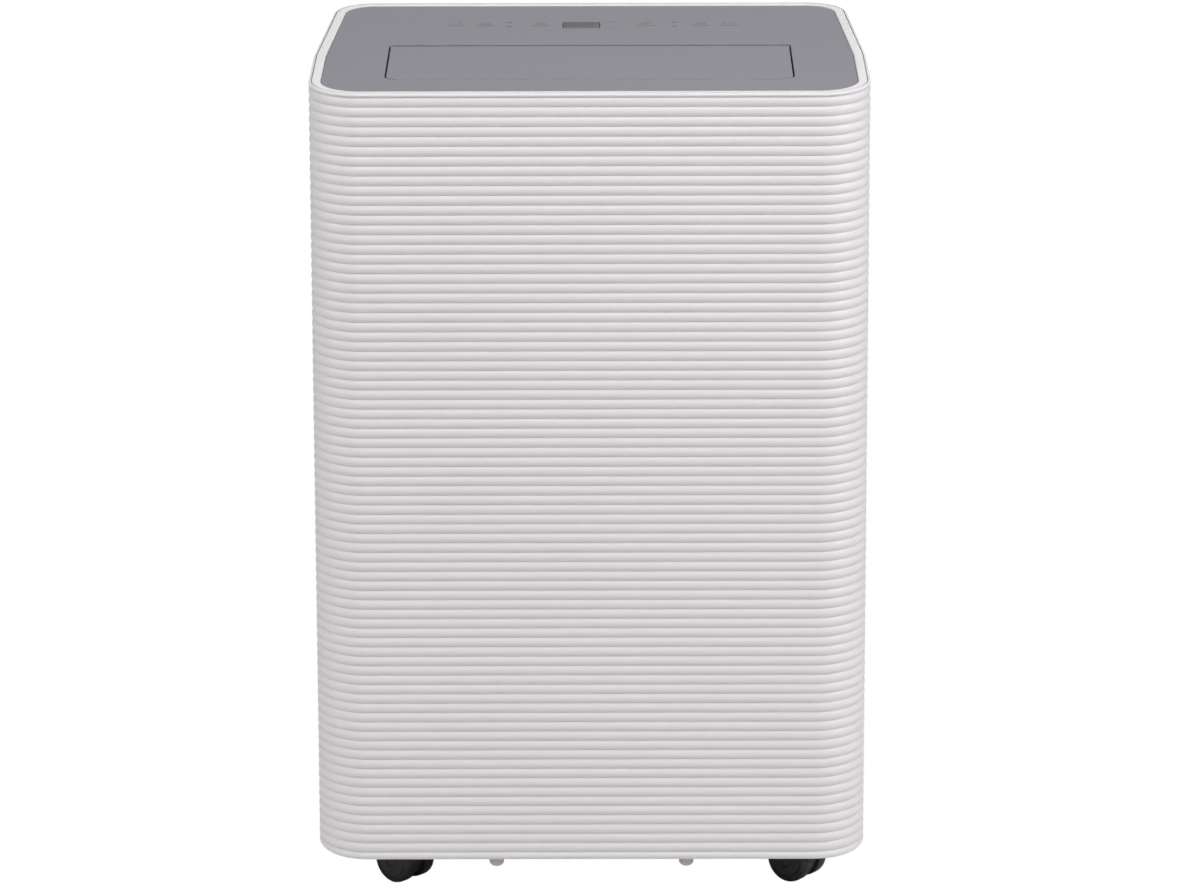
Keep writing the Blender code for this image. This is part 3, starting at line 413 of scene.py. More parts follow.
rim_lip, lip = geometry_tree(
    "rim_lip",
    {
        "Plan": "Geometry",
        "Width": "Float",
        "Height": "Float",
        "Edge": "Float",
        "Inset": "Float",
        "Top": "Float",
        "Material": "Material",
    },
)
bar = lip["Width"].node(
    "GeometryNodeCurvePrimitiveQuadrilateral", {}, {"Width": lip["Width"], "Height": lip["Height"]}
)
bar = bar.node(
    "GeometryNodeFilletCurve",
    {"mode": "POLY"},
    {"Curve": bar, "Radius": lip["Edge"], "Count": 3, "Limit Radius": True},
)
shift = bar.node(
    "ShaderNodeCombineXYZ",
    {},
    {"X": (lip["Inset"] + lip["Width"] * 0.5) * -1, "Y": (lip["Top"] - lip["Height"] * 0.5) * -1},
)
bar = bar.node("GeometryNodeTransform", {}, {"Geometry": bar, "Translation": shift})
swept = bar.node(
    "GeometryNodeCurveToMesh", {}, {"Curve": lip["Plan"], "Profile Curve": bar, "Fill Caps": True}
)
close_tree(rim_lip, swept, lip["Material"])


def ribbed_shell(plan):
    """The ribbed wall along a plan, from the base up to the rim."""
    values = {
        "Ribs": RIBS,
        "Steps": STEPS_PER_RIB,
        "Bottom": front_low.z,
        "Pitch": (front_high.z - front_low.z - FOOT_BAND - RIM_BAND) / RIBS,
        "Depth": RIB_DEPTH,
        "Fullness": RIB_FULLNESS,
        "Wall": SHELL_WALL,
        "Foot Band": FOOT_BAND,
        "Rim Band": RIM_BAND,
        "Material": shell_plastic,
    }
    return tidied(grown(path(plan), ribbed_wall, values), radians(50))


def lip_over(plan):
    """The smooth rim along the top of a wall."""
    outer = RIB_DEPTH * 0.6
    values = {
        "Width": RIM_WIDTH - outer,
        "Height": RIM_HEIGHT,
        "Edge": RIM_EDGE,
        "Inset": outer,
        "Top": front_high.z,
        "Material": shell_plastic,
    }
    return tidied(grown(path(plan), rim_lip, values), radians(50))


def joined(*meshes):
    """One mesh from several, in order."""
    bm = bmesh.new()
    for mesh in meshes:
        bm.from_mesh(mesh)
    made = bpy.data.meshes.new("joined")
    bm.to_mesh(made)
    bm.free()
    return made


def block(low, high, edge=0.0):
    """A box between two corners, with its edges rounded."""
    bm = bmesh.new()
    bmesh.ops.create_cube(bm, size=1.0)
    low = Vector(low)
    high = Vector(high)
    place = Matrix.Translation((low + high) / 2) @ Matrix.Diagonal((*(high - low), 1.0))
    bmesh.ops.transform(bm, matrix=place, verts=bm.verts)
    if edge:
        bmesh.ops.bevel(bm, geom=bm.edges, offset=edge, segments=3, profile=0.5, affect="EDGES")
    mesh = bpy.data.meshes.new("block")
    bm.to_mesh(mesh)
    bm.free()
    mesh.shade_smooth()
    mesh.set_sharp_from_angle(angle=radians(40))
    return mesh


def turned(profile, start, axis, steps=48):
    """A solid turned about an axis, from points that give a radius and a distance along the axis."""
    bm = bmesh.new()
    rings = []
    for radius, along in profile:
        if radius < 1e-7:
            rings.append([bm.verts.new((0.0, 0.0, along))])
            continue
        turns = [2 * pi * step / steps for step in range(steps)]
        rings.append([bm.verts.new((radius * cos(turn), radius * sin(turn), along)) for turn in turns])
    for first, second in zip(rings, rings[1:]):
        for step in range(steps):
            after = (step + 1) % steps
            if len(first) == 1 and len(second) == 1:
                break
            if len(first) == 1:
                bm.faces.new((first[0], second[step], second[after]))
            elif len(second) == 1:
                bm.faces.new((first[step], second[0], first[after]))
            else:
                bm.faces.new((first[step], second[step], second[after], first[after]))
    if len(rings[0]) > 1:
        edges = [
            bm.edges.get((ring[i], ring[(i + 1) % steps]))
            for ring in (rings[0], rings[-1])
            for i in range(steps)
        ]
        bmesh.ops.bridge_loops(bm, edges=edges)
    bmesh.ops.recalc_face_normals(bm, faces=bm.faces)
    turn = Vector(axis).to_track_quat("Z", "Y").to_matrix().to_4x4()
    bmesh.ops.transform(bm, matrix=Matrix.Translation(start) @ turn, verts=bm.verts)
    mesh = bpy.data.meshes.new("turned")
    bm.to_mesh(mesh)
    bm.free()
    mesh.shade_smooth()
    mesh.set_sharp_from_angle(angle=radians(35))
    return mesh


def drilled(mesh, cutters):
    """The mesh with closed shapes cut out of it."""
    held = bpy.data.objects.new("held", mesh)
    tool = bpy.data.objects.new("tool", joined(*cutters))
    for obj in (held, tool):
        bpy.context.scene.collection.objects.link(obj)
    modifier = held.modifiers.new("cut", "BOOLEAN")
    modifier.object = tool
    modifier.solver = "EXACT"
    modifier.operation = "DIFFERENCE"
    graph = bpy.context.evaluated_depsgraph_get()
    result = bpy.data.meshes.new_from_object(held.evaluated_get(graph), depsgraph=graph)
    held.modifiers.remove(modifier)
    bpy.data.objects.remove(held)
    bpy.data.objects.remove(tool)
    result.shade_smooth()
    result.set_sharp_from_angle(angle=radians(50))
    return result


shell_plastic = moulded_plastic("shell_plastic", SHELL_WHITE, 0.42)
front_mesh = joined(ribbed_shell(front_plan(0.0)), lip_over(front_plan(0.0)))
new_piece("front_cover_ribbed", front_mesh, shell_plastic, "cabinet", "white_shell", "front_cover")

REAR_GAP = 0.0006
cutters = []
for name in ("upper_grille", "lower_grille"):
    low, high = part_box(name)
    gap = Vector((REAR_GAP, 0.02, REAR_GAP))
    cutters.append(block(low - gap, high + gap))
for name in ("exhaust_collar", "drain_plug", "drain_cap", "cord_gland"):
    low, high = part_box(name)
    centre = (low + high) / 2
    radius = (high.x - low.x) / 2 + REAR_GAP
    profile = ((0.0, 0.0), (radius, 0.0), (radius, 0.05), (0.0, 0.05))
    cutters.append(turned(profile, (centre.x, high.y - 0.03, centre.z), (0, 1, 0), 64))
for name in ("grip_left", "grip_right"):
    low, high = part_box(name)
    gap = Vector((0.03, REAR_GAP, REAR_GAP))
    cutters.append(block(low - gap, high + gap))
SCREW_POCKET = 0.0046
SCREW_LEVELS = (0.062, 0.262, 0.414, 0.652)
SCREW_X = 0.176
for level in SCREW_LEVELS:
    for side in (-1, 1):
        profile = ((0.0, 0.0), (SCREW_POCKET, 0.0), (SCREW_POCKET, 0.02), (0.0, 0.02))
        pocket = turned(profile, (side * SCREW_X, rear_high.y - RIB_DEPTH - 0.0004, level), (0, 1, 0), 32)
        cutters.append(pocket)
rear_mesh = joined(drilled(ribbed_shell(rear_plan(0.0)), cutters), lip_over(rear_plan(0.0)))
new_piece("rear_cover_ribbed", rear_mesh, shell_plastic, "cabinet", "white_shell", "rear_cover")


# Top panel: a satin grey ABS plate that drops inside the white rim, with a rounded opening for the
# air flap and a window for the display. Its touch keys are printed marks over sensors and don't move.
PANEL_GREY = (0.200, 0.195, 0.225)
PANEL_EDGE = 0.0005
FLAP_CORNER = 0.013
FLAP_GAP = 0.0013


def filled(outlines, low, high, edge=0.0, segments=2):
    """A level plate between two heights from an outline and its holes, with its rims rounded."""
    curve = bpy.data.curves.new("outline", "CURVE")
    curve.dimensions = "2D"
    curve.fill_mode = "BOTH"
    for outline in outlines:
        spline = curve.splines.new("POLY")
        spline.points.add(len(outline) - 1)
        for point, (x, y) in zip(spline.points, outline):
            point.co = (x, y, 0.0, 1.0)
        spline.use_cyclic_u = True
    drawn = bpy.data.objects.new("outline", curve)
    flat = bpy.data.meshes.new_from_object(drawn)
    bpy.data.objects.remove(drawn)
    bm = bmesh.new()
    bm.from_mesh(flat)
    bmesh.ops.remove_doubles(bm, verts=bm.verts, dist=1e-6)
    top = [face for face in bm.faces if face.normal.z > 0]
    if len(top) < len(bm.faces):
        bmesh.ops.delete(bm, geom=[face for face in bm.faces if face.normal.z <= 0], context="FACES")
    bmesh.ops.dissolve_limit(bm, angle_limit=0.001, verts=bm.verts, edges=bm.edges)
    bmesh.ops.translate(bm, vec=(0, 0, low), verts=bm.verts)
    raised = bmesh.ops.extrude_face_region(bm, geom=bm.faces[:])["geom"]
    lifted = [item for item in raised if isinstance(item, bmesh.types.BMVert)]
    bmesh.ops.translate(bm, vec=(0, 0, high - low), verts=lifted)
    bmesh.ops.recalc_face_normals(bm, faces=bm.faces)
    if edge:
        rims = [e for e in bm.edges if len(e.link_faces) == 2 and e.calc_face_angle() > radians(60)]
        rims = [e for e in rims if abs(e.verts[0].co.z - e.verts[1].co.z) < 1e-6]
        bmesh.ops.bevel(bm, geom=rims, offset=edge, segments=segments, profile=0.5, affect="EDGES")
    mesh = bpy.data.meshes.new("plate")
    bm.to_mesh(mesh)
    bm.free()
    mesh.shade_smooth()
    for face in mesh.polygons:
        face.use_smooth = abs(face.normal.z) < 0.99
    return mesh


def rounded_box(left, front, right, rear, corners, steps=8):
    """A level outline with its own radius at the front and the rear corners."""
    front_radius, rear_radius = corners
    points = corner_arc((right - front_radius, front + front_radius), (front_radius,) * 2, -pi / 2, 0, steps)
    points += corner_arc((right - rear_radius, rear - rear_radius), (rear_radius,) * 2, 0, pi / 2, steps)
    points += corner_arc((left + rear_radius, rear - rear_radius), (rear_radius,) * 2, pi / 2, pi, steps)
    return points + corner_arc(
        (left + front_radius, front + front_radius), (front_radius,) * 2, pi, 3 * pi / 2, steps
    )


panel_plastic = moulded_plastic("panel_plastic", PANEL_GREY, 0.36, 0.00002, 0.01)
panel_low, panel_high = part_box("top_panel")
lens_low, lens_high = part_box("display_lens")
flap_low, flap_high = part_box("air_flap")
hinge = next(joint for joint in frame["joints"] if joint["name"] == "flap_hinge")
hinge_y, hinge_z = hinge["pos_m"][1:]
barrel = panel_high.z - hinge_z
FLAP_HALF = 0.327 / 2
inset = half_width - panel_high.x
opening_rear = hinge_y + barrel + 0.0007
panel_outline = front_plan(inset)[:-1] + rear_plan(inset)
opening_half = FLAP_HALF + FLAP_GAP
opening_corners = (FLAP_CORNER + FLAP_GAP, 0.004)
opening = rounded_box(-opening_half, flap_low.y - FLAP_GAP, opening_half, opening_rear, opening_corners)
window = rounded_box(
    lens_low.x - 0.0003, lens_low.y - 0.0003, lens_high.x + 0.0003, lens_high.y + 0.0003, (0.0012, 0.0012), 4
)
panel_mesh = filled([panel_outline, opening, window], panel_low.z, panel_high.z, PANEL_EDGE)
new_piece("top_panel_moulded", panel_mesh, panel_plastic, "cabinet", "grey_panel", "top_panel")


# Air flap: a grey ABS louvre flush with the panel. Its rear edge is a barrel round the hinge pins, so
# it turns in a close gap, and ribs stiffen its underside.
BARREL_STEPS = 10
FLAP_THICKNESS = 0.0032
barrel_arc = [
    (
        hinge_y + barrel * sin(radians(115) * step / BARREL_STEPS),
        hinge_z + barrel * cos(radians(115) * step / BARREL_STEPS),
    )
    for step in range(BARREL_STEPS + 1)
]
bm = bmesh.new()
wall = FLAP_THICKNESS
barrel_outer = [bm.verts.new((-FLAP_HALF, y, z)) for y, z in barrel_arc]
shrink = (barrel - wall * 0.7) / barrel
barrel_inner = [
    bm.verts.new((-FLAP_HALF, hinge_y + (y - hinge_y) * shrink, hinge_z + (z - hinge_z) * shrink))
    for y, z in reversed(barrel_arc)
]
rolled = bm.faces.new(barrel_outer + barrel_inner)
pulled = bmesh.ops.extrude_face_region(bm, geom=[rolled])["geom"]
moved = [item for item in pulled if isinstance(item, bmesh.types.BMVert)]
bmesh.ops.translate(bm, vec=(2 * FLAP_HALF, 0, 0), verts=moved)
bmesh.ops.recalc_face_normals(bm, faces=bm.faces)
rolled_mesh = bpy.data.meshes.new("rolled")
bm.to_mesh(rolled_mesh)
bm.free()
rolled_mesh.shade_smooth()
rolled_mesh.set_sharp_from_angle(angle=radians(40))
leaf_outline = rounded_box(-FLAP_HALF, flap_low.y, FLAP_HALF, hinge_y + 0.0005, (FLAP_CORNER, 0.0002))
leaf = filled([leaf_outline], flap_high.z - FLAP_THICKNESS, flap_high.z, 0.0004)
stiffeners = []
for number in range(9):
    x = (number - 4) * FLAP_HALF * 0.22
    stiffeners.append(
        block(
            (x - 0.0006, flap_low.y + 0.012, flap_high.z - FLAP_THICKNESS - 0.0022),
            (x + 0.0006, hinge_y - 0.002, flap_high.z - FLAP_THICKNESS + 0.0005),
            0.0002,
        )
    )
for side in (-1, 1):
    x = side * (FLAP_HALF - 0.0027)
    stiffeners.append(
        block(
            (x - 0.0016, hinge_y - 0.0028, hinge_z - 0.0028),
            (x + 0.0016, hinge_y + 0.0028, flap_high.z - FLAP_THICKNESS + 0.0005),
            0.0004,
        )
    )
    start = (side * (FLAP_HALF - 0.003), hinge_y, hinge_z)
    length = flap_high.x - FLAP_HALF + 0.003
    pin = ((0.0, 0.0), (0.002, 0.0), (0.002, length - 0.0004), (0.0016, length), (0.0, length))
    stiffeners.append(turned(pin, start, (side, 0, 0), 24))
flap_mesh = joined(leaf, rolled_mesh, *stiffeners)
new_piece("air_flap_moulded", flap_mesh, panel_plastic, "flap", "grey_panel", "air_flap")


# Display, touch keys and indicators: a dark smoked window and faint printed marks on the panel, over
# capacitive sensors. Plain shapes stand for the printed symbols, and each is a thin layer of ink.
INK_RISE = 0.00003
INK_SINK = 0.00002
INK_GREY = (0.126, 0.123, 0.138)
INK_PALE = (0.160, 0.157, 0.173)
KEY_Y = 0.0928
WORD_Y = KEY_Y - 0.0048
ICON_Y = KEY_Y + 0.0032
PAIR_STEP = 0.0088
AIR_X = -0.1117
MODE_X = -0.0875
LEVEL_X = -0.0674
SWING_X = -0.0415
FAN_X = 0.0461
TIME_X = 0.0703
SLEEP_X = 0.0920
POWER_X = 0.1154
WORD_SIZE = (0.0165, 0.0022)
SIGN_RADIUS = 0.0038
SIGN_LINE = 0.0012
LAMP_X = 0.0186

ink_level = panel_high.z


def ink(outlines):
    """Printed marks: each outline is a very thin level layer on the panel."""
    return joined(*(filled([outline], ink_level - INK_SINK, ink_level + INK_RISE) for outline in outlines))


def printed_ink(name, colour, roughness, wear):
    """Matt ink, worn unevenly: its darkest share of the colour, then its least and added roughness."""
    made, place = finish(name, Base_Color=colour, Roughness=roughness)
    speck = grain(place, 5200.0)
    feed(made, "Base Color", speck.blend(tuple(channel * wear[0] for channel in colour), colour))
    feed(made, "Roughness", wear[1] + speck * wear[2])
    return made


def bar_mark(x, y, width, depth):
    """A short bar with round ends, as an outline."""
    return rounded_box(x - width / 2, y - depth / 2, x + width / 2, y + depth / 2, (depth * 0.45,) * 2, 3)


def ring_mark(x, y, radius, width, start, end):
    """A part of a ring, as an outline."""
    outer = corner_arc((x, y), (radius + width / 2,) * 2, start, end, 20)
    return outer + corner_arc((x, y), (radius - width / 2,) * 2, end, start, 20)


def triangle_mark(x, y, width, depth):
    """A triangle that points to the rear, as an outline."""
    return [(x - width / 2, y - depth / 2), (x + width / 2, y - depth / 2), (x, y + depth / 2)]


marks = []
# A plain bar stands for the word under each symbol.
for x in (AIR_X, MODE_X, SWING_X, FAN_X, SLEEP_X, POWER_X):
    marks.append(bar_mark(x, WORD_Y, *WORD_SIZE))
# Left of the display: air speed, mode, lower and raise, then swing.
for number in range(3):
    turn = radians(90 + 120 * number)
    blade_x = AIR_X + 0.0028 * cos(turn)
    marks.append(ring_mark(blade_x, ICON_Y + 0.0028 * sin(turn), 0.0026, SIGN_LINE, turn - 2.4, turn))
for row in (-0.0032, 0.0, 0.0032):
    marks.append(bar_mark(MODE_X, ICON_Y + row, 0.0084, SIGN_LINE))
marks.append(ring_mark(SWING_X, ICON_Y, SIGN_RADIUS, SIGN_LINE, radians(40), radians(380)))
marks.append(bar_mark(SWING_X, ICON_Y, 0.0034, SIGN_LINE))
# Right of the display: fan, longer and shorter, sleep and power.
for row in (-0.0028, 0.0, 0.0028):
    marks.append(bar_mark(FAN_X + row * 0.6, ICON_Y + row, 0.0080, SIGN_LINE))
marks.append(ring_mark(SLEEP_X, ICON_Y, SIGN_RADIUS, SIGN_LINE, 0.0, radians(359)))
marks.append(bar_mark(SLEEP_X + 0.0008, ICON_Y + 0.0005, 0.0034, SIGN_LINE))
marks.append(ring_mark(POWER_X, ICON_Y, SIGN_RADIUS, SIGN_LINE, radians(125), radians(415)))
marks.append(bar_mark(POWER_X, ICON_Y + 0.0034, SIGN_LINE, 0.0040))
for x in (LEVEL_X, TIME_X):
    upper = triangle_mark(x, KEY_Y + PAIR_STEP, 0.0072, 0.0052)
    marks.append(upper)
    marks.append([(left, 2 * KEY_Y - y) for left, y in reversed(upper)])
key_ink = printed_ink("key_ink", INK_GREY, 0.5, (0.92, 0.44, 0.12))
new_piece("touch_key_marks", ink(marks), key_ink, "cabinet", "dark_window")

lamps = [bar_mark(LAMP_X, y, 0.0135, 0.0022) for y in (0.0780, 0.1030)]
lamps += [bar_mark(-0.0145 + 0.0042 * number, 0.1195, 0.0028, 0.0009) for number in range(5)]
lamp_ink = printed_ink("lamp_ink", INK_PALE, 0.45, (0.94, 0.40, 0.10))
new_piece("indicator_marks", ink(lamps), lamp_ink, "cabinet", "dark_window")

# The window reads as a dull grey bar, with two dark, unlit digits just showing on it.
LENS_GREY = (0.077, 0.074, 0.083)
DIGIT_GREY = (0.062, 0.059, 0.067)
smoked, place = finish("smoked_window", Base_Color=LENS_GREY, Roughness=0.40)
smear = grain(place, 60.0, 4.0)
feed(smoked, "Base Color", smear.blend(tuple(channel * 0.93 for channel in LENS_GREY), LENS_GREY))
feed(smoked, "Roughness", 0.36 + smear * 0.10)
bumped(smoked, grain(place, 900.0), 0.000008)
lens = block(lens_low, lens_high, 0.0004)
new_piece("display_window", lens, smoked, "cabinet", "dark_window", "display_lens")
segments = []
lens_middle = (lens_low + lens_high) / 2
for side in (-1, 1):
    x = lens_middle.x + side * 0.0052
    for row in (-0.0065, 0.0, 0.0065):
        segments.append(bar_mark(x, lens_middle.y + row, 0.0056, 0.0010))
    for end in (-0.0036, 0.0036):
        for row in (-0.00325, 0.00325):
            y = lens_middle.y + row
            segments.append(
                rounded_box(x + end - 0.0005, y - 0.0024, x + end + 0.0005, y + 0.0024, (0.0004,) * 2, 2)
            )
digit_ink, place = finish("digit_ink", Base_Color=DIGIT_GREY, Roughness=0.25)
feed(digit_ink, "Roughness", 0.22 + grain(place, 2600.0) * 0.08)
new_piece("display_digits", ink(segments), digit_ink, "cabinet", "dark_window")


# Casters: black twin-wheel swivel casters of moulded nylon. Each has a stem that clicks into the base
# pan, a web with a hood over the wheels, and two wheels pressed on a steel axle; the axle is drawn in
# one piece with the wheels, in their nylon.
CASTER_BLACK = (0.0215, 0.0205, 0.0230)
WHEEL_RADIUS = 0.0195
WHEEL_WIDTH = 0.012
WEB_WIDTH = 0.009
WHEEL_GAP = 0.0004
CASTER_TRAIL = 0.010
STEM_RADIUS = 0.0045
HOOD_REACH = 0.0223
HOOD_WALL = 0.0018
HOOD_ENDS = (radians(4), radians(168))
FORK_TOP = 0.0425

caster_nylon = moulded_plastic("caster_nylon", CASTER_BLACK, 0.46, 0.00004, 0.10)
stem_steel, place = finish("stem_steel", Base_Color=(0.42, 0.42, 0.43), Metallic=1.0, Roughness=0.35)
drawn = grain(place, 420.0, 3.0)
feed(stem_steel, "Roughness", 0.28 + drawn * 0.18)
bumped(stem_steel, drawn, 0.00002)
# Turns a level outline on its side, so that its thickness runs along X.
side_on = Matrix(((0, 0, 1, 0), (1, 0, 0, 0), (0, 1, 0, 0), (0, 0, 0, 1)))


def on_side(outlines, low, high, edge):
    """A plate that stands upright, with its thickness along X."""
    mesh = filled(outlines, low, high, edge)
    mesh.transform(side_on)
    return mesh


def caster_wheel(side):
    """One wheel: a rounded tread, a shallow groove round the face and a raised hub cap."""
    inner = WEB_WIDTH / 2 + WHEEL_GAP
    outer = inner + WHEEL_WIDTH
    radius = WHEEL_RADIUS
    profile = (
        (0.0, inner),
        (0.0060, inner),
        (0.0065, inner + 0.0008),
        (radius - 0.0045, inner + 0.0008),
        (radius - 0.0035, inner),
        (radius - 0.0010, inner + 0.0002),
        (radius - 0.0002, inner + 0.0009),
        (radius, inner + 0.0022),
        (radius, outer - 0.0036),
        (radius - 0.0004, outer - 0.0020),
        (radius - 0.0014, outer - 0.0009),
        (radius - 0.0030, outer - 0.0003),
        (radius - 0.0044, outer - 0.0002),
        (radius - 0.0048, outer - 0.0010),
        (radius - 0.0056, outer - 0.0011),
        (radius - 0.0061, outer - 0.0004),
        (0.0062, outer - 0.0001),
        (0.0058, outer - 0.0009),
        (0.0050, outer - 0.0009),
        (0.0045, outer - 0.0002),
        (0.0, outer),
    )
    return turned(profile, (0, 0, 0), (side, 0, 0), 56)


hood_arch = corner_arc((0, 0), (HOOD_REACH,) * 2, *HOOD_ENDS, 28)
hood_arch += corner_arc((0, 0), (HOOD_REACH - HOOD_WALL,) * 2, HOOD_ENDS[1], HOOD_ENDS[0], 28)
web_disc = corner_arc((0, 0), (0.0165, 0.0165), radians(150), radians(390), 30)
web_disc += [(HOOD_REACH * cos(radians(35)) * 0.96, HOOD_REACH * sin(radians(35)) * 0.96)]
web_disc += corner_arc((0, 0), (HOOD_REACH * 0.97,) * 2, radians(45), radians(140), 14)
axle_hole = corner_arc((0, 0), (0.0033, 0.0033), 0.0, 2 * pi * 19 / 20, 19)
hood_half = WEB_WIDTH / 2 + WHEEL_WIDTH - 0.0006
for joint in frame["joints"]:
    if not joint["name"].endswith("caster_roll"):
        continue
    caster = joint["name"][: -len("_roll")]
    across = Vector(joint["axis"]).normalized()
    back = Vector((0, 0, 1)).cross(across)
    axle = Vector(joint["pos_m"])
    stand = Matrix((across, back, (0, 0, 1))).transposed().to_4x4()
    stand.translation = axle
    rise = FORK_TOP - axle.z
    hood = on_side([hood_arch], -hood_half, hood_half, 0.0005)
    web = on_side([web_disc, axle_hole], -WEB_WIDTH / 2, WEB_WIDTH / 2, 0.0004)
    collar = (
        (0.0, rise - 0.0048), (0.0085, rise - 0.0048), (0.0115, rise - 0.0018), (0.0115, rise), (0.0, rise)
    )
    collar = turned(collar, (0, -CASTER_TRAIL, 0), (0, 0, 1), 36)
    fork_mesh = joined(hood, web, collar)
    fork_mesh.transform(stand)
    new_piece(caster + "_hood", fork_mesh, caster_nylon, caster, "black_plastic", caster + "_fork")
    stem_top = rise + 0.0185
    stem = (
        (0.0, rise - 0.001),
        (STEM_RADIUS, rise - 0.001),
        (STEM_RADIUS, stem_top - 0.0062),
        (STEM_RADIUS - 0.0009, stem_top - 0.0056),
        (STEM_RADIUS - 0.0009, stem_top - 0.0040),
        (STEM_RADIUS, stem_top - 0.0034),
        (STEM_RADIUS, stem_top - 0.0012),
        (STEM_RADIUS - 0.0014, stem_top),
        (0.0, stem_top),
    )
    stem_mesh = turned(stem, (0, -CASTER_TRAIL, 0), (0, 0, 1), 28)
    stem_mesh.transform(stand)
    new_piece(caster + "_stem", stem_mesh, stem_steel, caster, "black_plastic")
    axle_reach = WEB_WIDTH / 2 + 0.006
    axle_rod = ((0.0, -axle_reach), (0.0029, -axle_reach), (0.0029, axle_reach), (0.0, axle_reach))
    wheels = joined(caster_wheel(1), caster_wheel(-1), turned(axle_rod, (0, 0, 0), (1, 0, 0), 24))
    wheels.transform(stand)
    new_piece(
        caster + "_wheel_pair", wheels, caster_nylon, caster + "_wheels", "black_plastic", caster + "_wheels"
    )


# Front feet: two short grey rubber stops with domed ends under the front edge. They touch the floor
# first if the cabinet is tipped forwards, and stay clear of it otherwise.
FOOT_GREY = (0.54, 0.52, 0.54)
foot_rubber = moulded_plastic("foot_rubber", FOOT_GREY, 0.62, 0.00005, 0.05)
for name in ("front_foot_left", "front_foot_right"):
    low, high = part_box(name)
    middle = (low + high) / 2
    radius = (high.x - low.x) / 2
    dome = corner_arc((0.0, radius * 0.72), (radius, radius * 0.72), -pi / 2, 0.0, 12)
    stalk = high.z - low.z
    profile = [(0.0, 0.0)] + dome[1:] + [
        (radius, stalk * 0.62), (radius * 0.8, stalk * 0.66), (radius * 0.8, stalk), (0.0, stalk)
    ]
    foot = turned(profile, (middle.x, middle.y, low.z), (0, 0, 1), 40)
    new_piece(name + "_pad", foot, foot_rubber, "cabinet", "foot_grey", name)


# Rear grilles: two white louvred covers that pull straight off the rear shell. Level slats with
# rounded edges cross a moulded frame, with upright bars behind them, and two finger tabs on the frame.
GRILLE_FRAME = 0.008
SLAT_PITCH = 0.0082
SLAT_HEIGHT = 0.0036
SLAT_DEPTH = 0.0034
SLAT_EDGE = 0.0009
BAR_PITCH = 0.040
BAR_WIDTH = 0.0024

louvres, slat = geometry_tree(
    "louvres",
    {
        "Rows": "Int",
        "Pitch": "Float",
        "Length": "Float",
        "Depth": "Float",
        "Height": "Float",
        "Edge": "Float",
        "Lean": "Float",
        "Material": "Material",
    },
)
section = slat["Depth"].node(
    "GeometryNodeCurvePrimitiveQuadrilateral", {}, {"Width": slat["Depth"], "Height": slat["Height"]}
)
section = section.node(
    "GeometryNodeFilletCurve",
    {"mode": "POLY"},
    {"Curve": section, "Radius": slat["Edge"], "Count": 2, "Limit Radius": True},
)
lean = section.node("ShaderNodeCombineXYZ", {}, {"Z": slat["Lean"]})
section = section.node("GeometryNodeTransform", {}, {"Geometry": section, "Rotation": lean})
half_length = slat["Length"] * 0.5
left_end = half_length.node("ShaderNodeCombineXYZ", {}, {"X": half_length * -1})
right_end = half_length.node("ShaderNodeCombineXYZ", {}, {"X": half_length})
bar = half_length.node("GeometryNodeCurvePrimitiveLine", {}, {"Start": left_end, "End": right_end})
bar = bar.node("GeometryNodeCurveToMesh", {}, {"Curve": bar, "Profile Curve": section, "Fill Caps": True})
step = slat["Pitch"].node("ShaderNodeCombineXYZ", {}, {"Z": slat["Pitch"]})
lowest = slat["Pitch"].node("ShaderNodeCombineXYZ", {}, {"Z": (slat["Rows"] - 1) * slat["Pitch"] * -0.5})
rows = step.node(
    "GeometryNodeMeshLine",
    {"mode": "OFFSET"},
    {"Count": slat["Rows"], "Start Location": lowest, "Offset": step},
)
copies = rows.node("GeometryNodeInstanceOnPoints", {}, {"Points": rows, "Instance": bar})
close_tree(louvres, copies, slat["Material"])


def upright(mesh, y, x=0.0, z=0.0):
    """Stands a level plate up facing the rear, with its outline along X and Z."""
    mesh.transform(Matrix(((1, 0, 0, x), (0, 0, 1, y), (0, 1, 0, z), (0, 0, 0, 1))))
    mesh.flip_normals()
    return mesh


def frame_of(low, high, bar_size, edge):
    """A flat rectangular frame that stands upright, facing the rear."""
    outer = rounded_box(low.x, low.z, high.x, high.z, (0.0025, 0.0025), 4)
    inner = rounded_box(
        low.x + bar_size, low.z + bar_size, high.x - bar_size, high.z - bar_size, (0.002, 0.002), 4
    )
    mesh = filled([outer, inner], 0.0, high.y - low.y, edge)
    return upright(mesh, low.y)


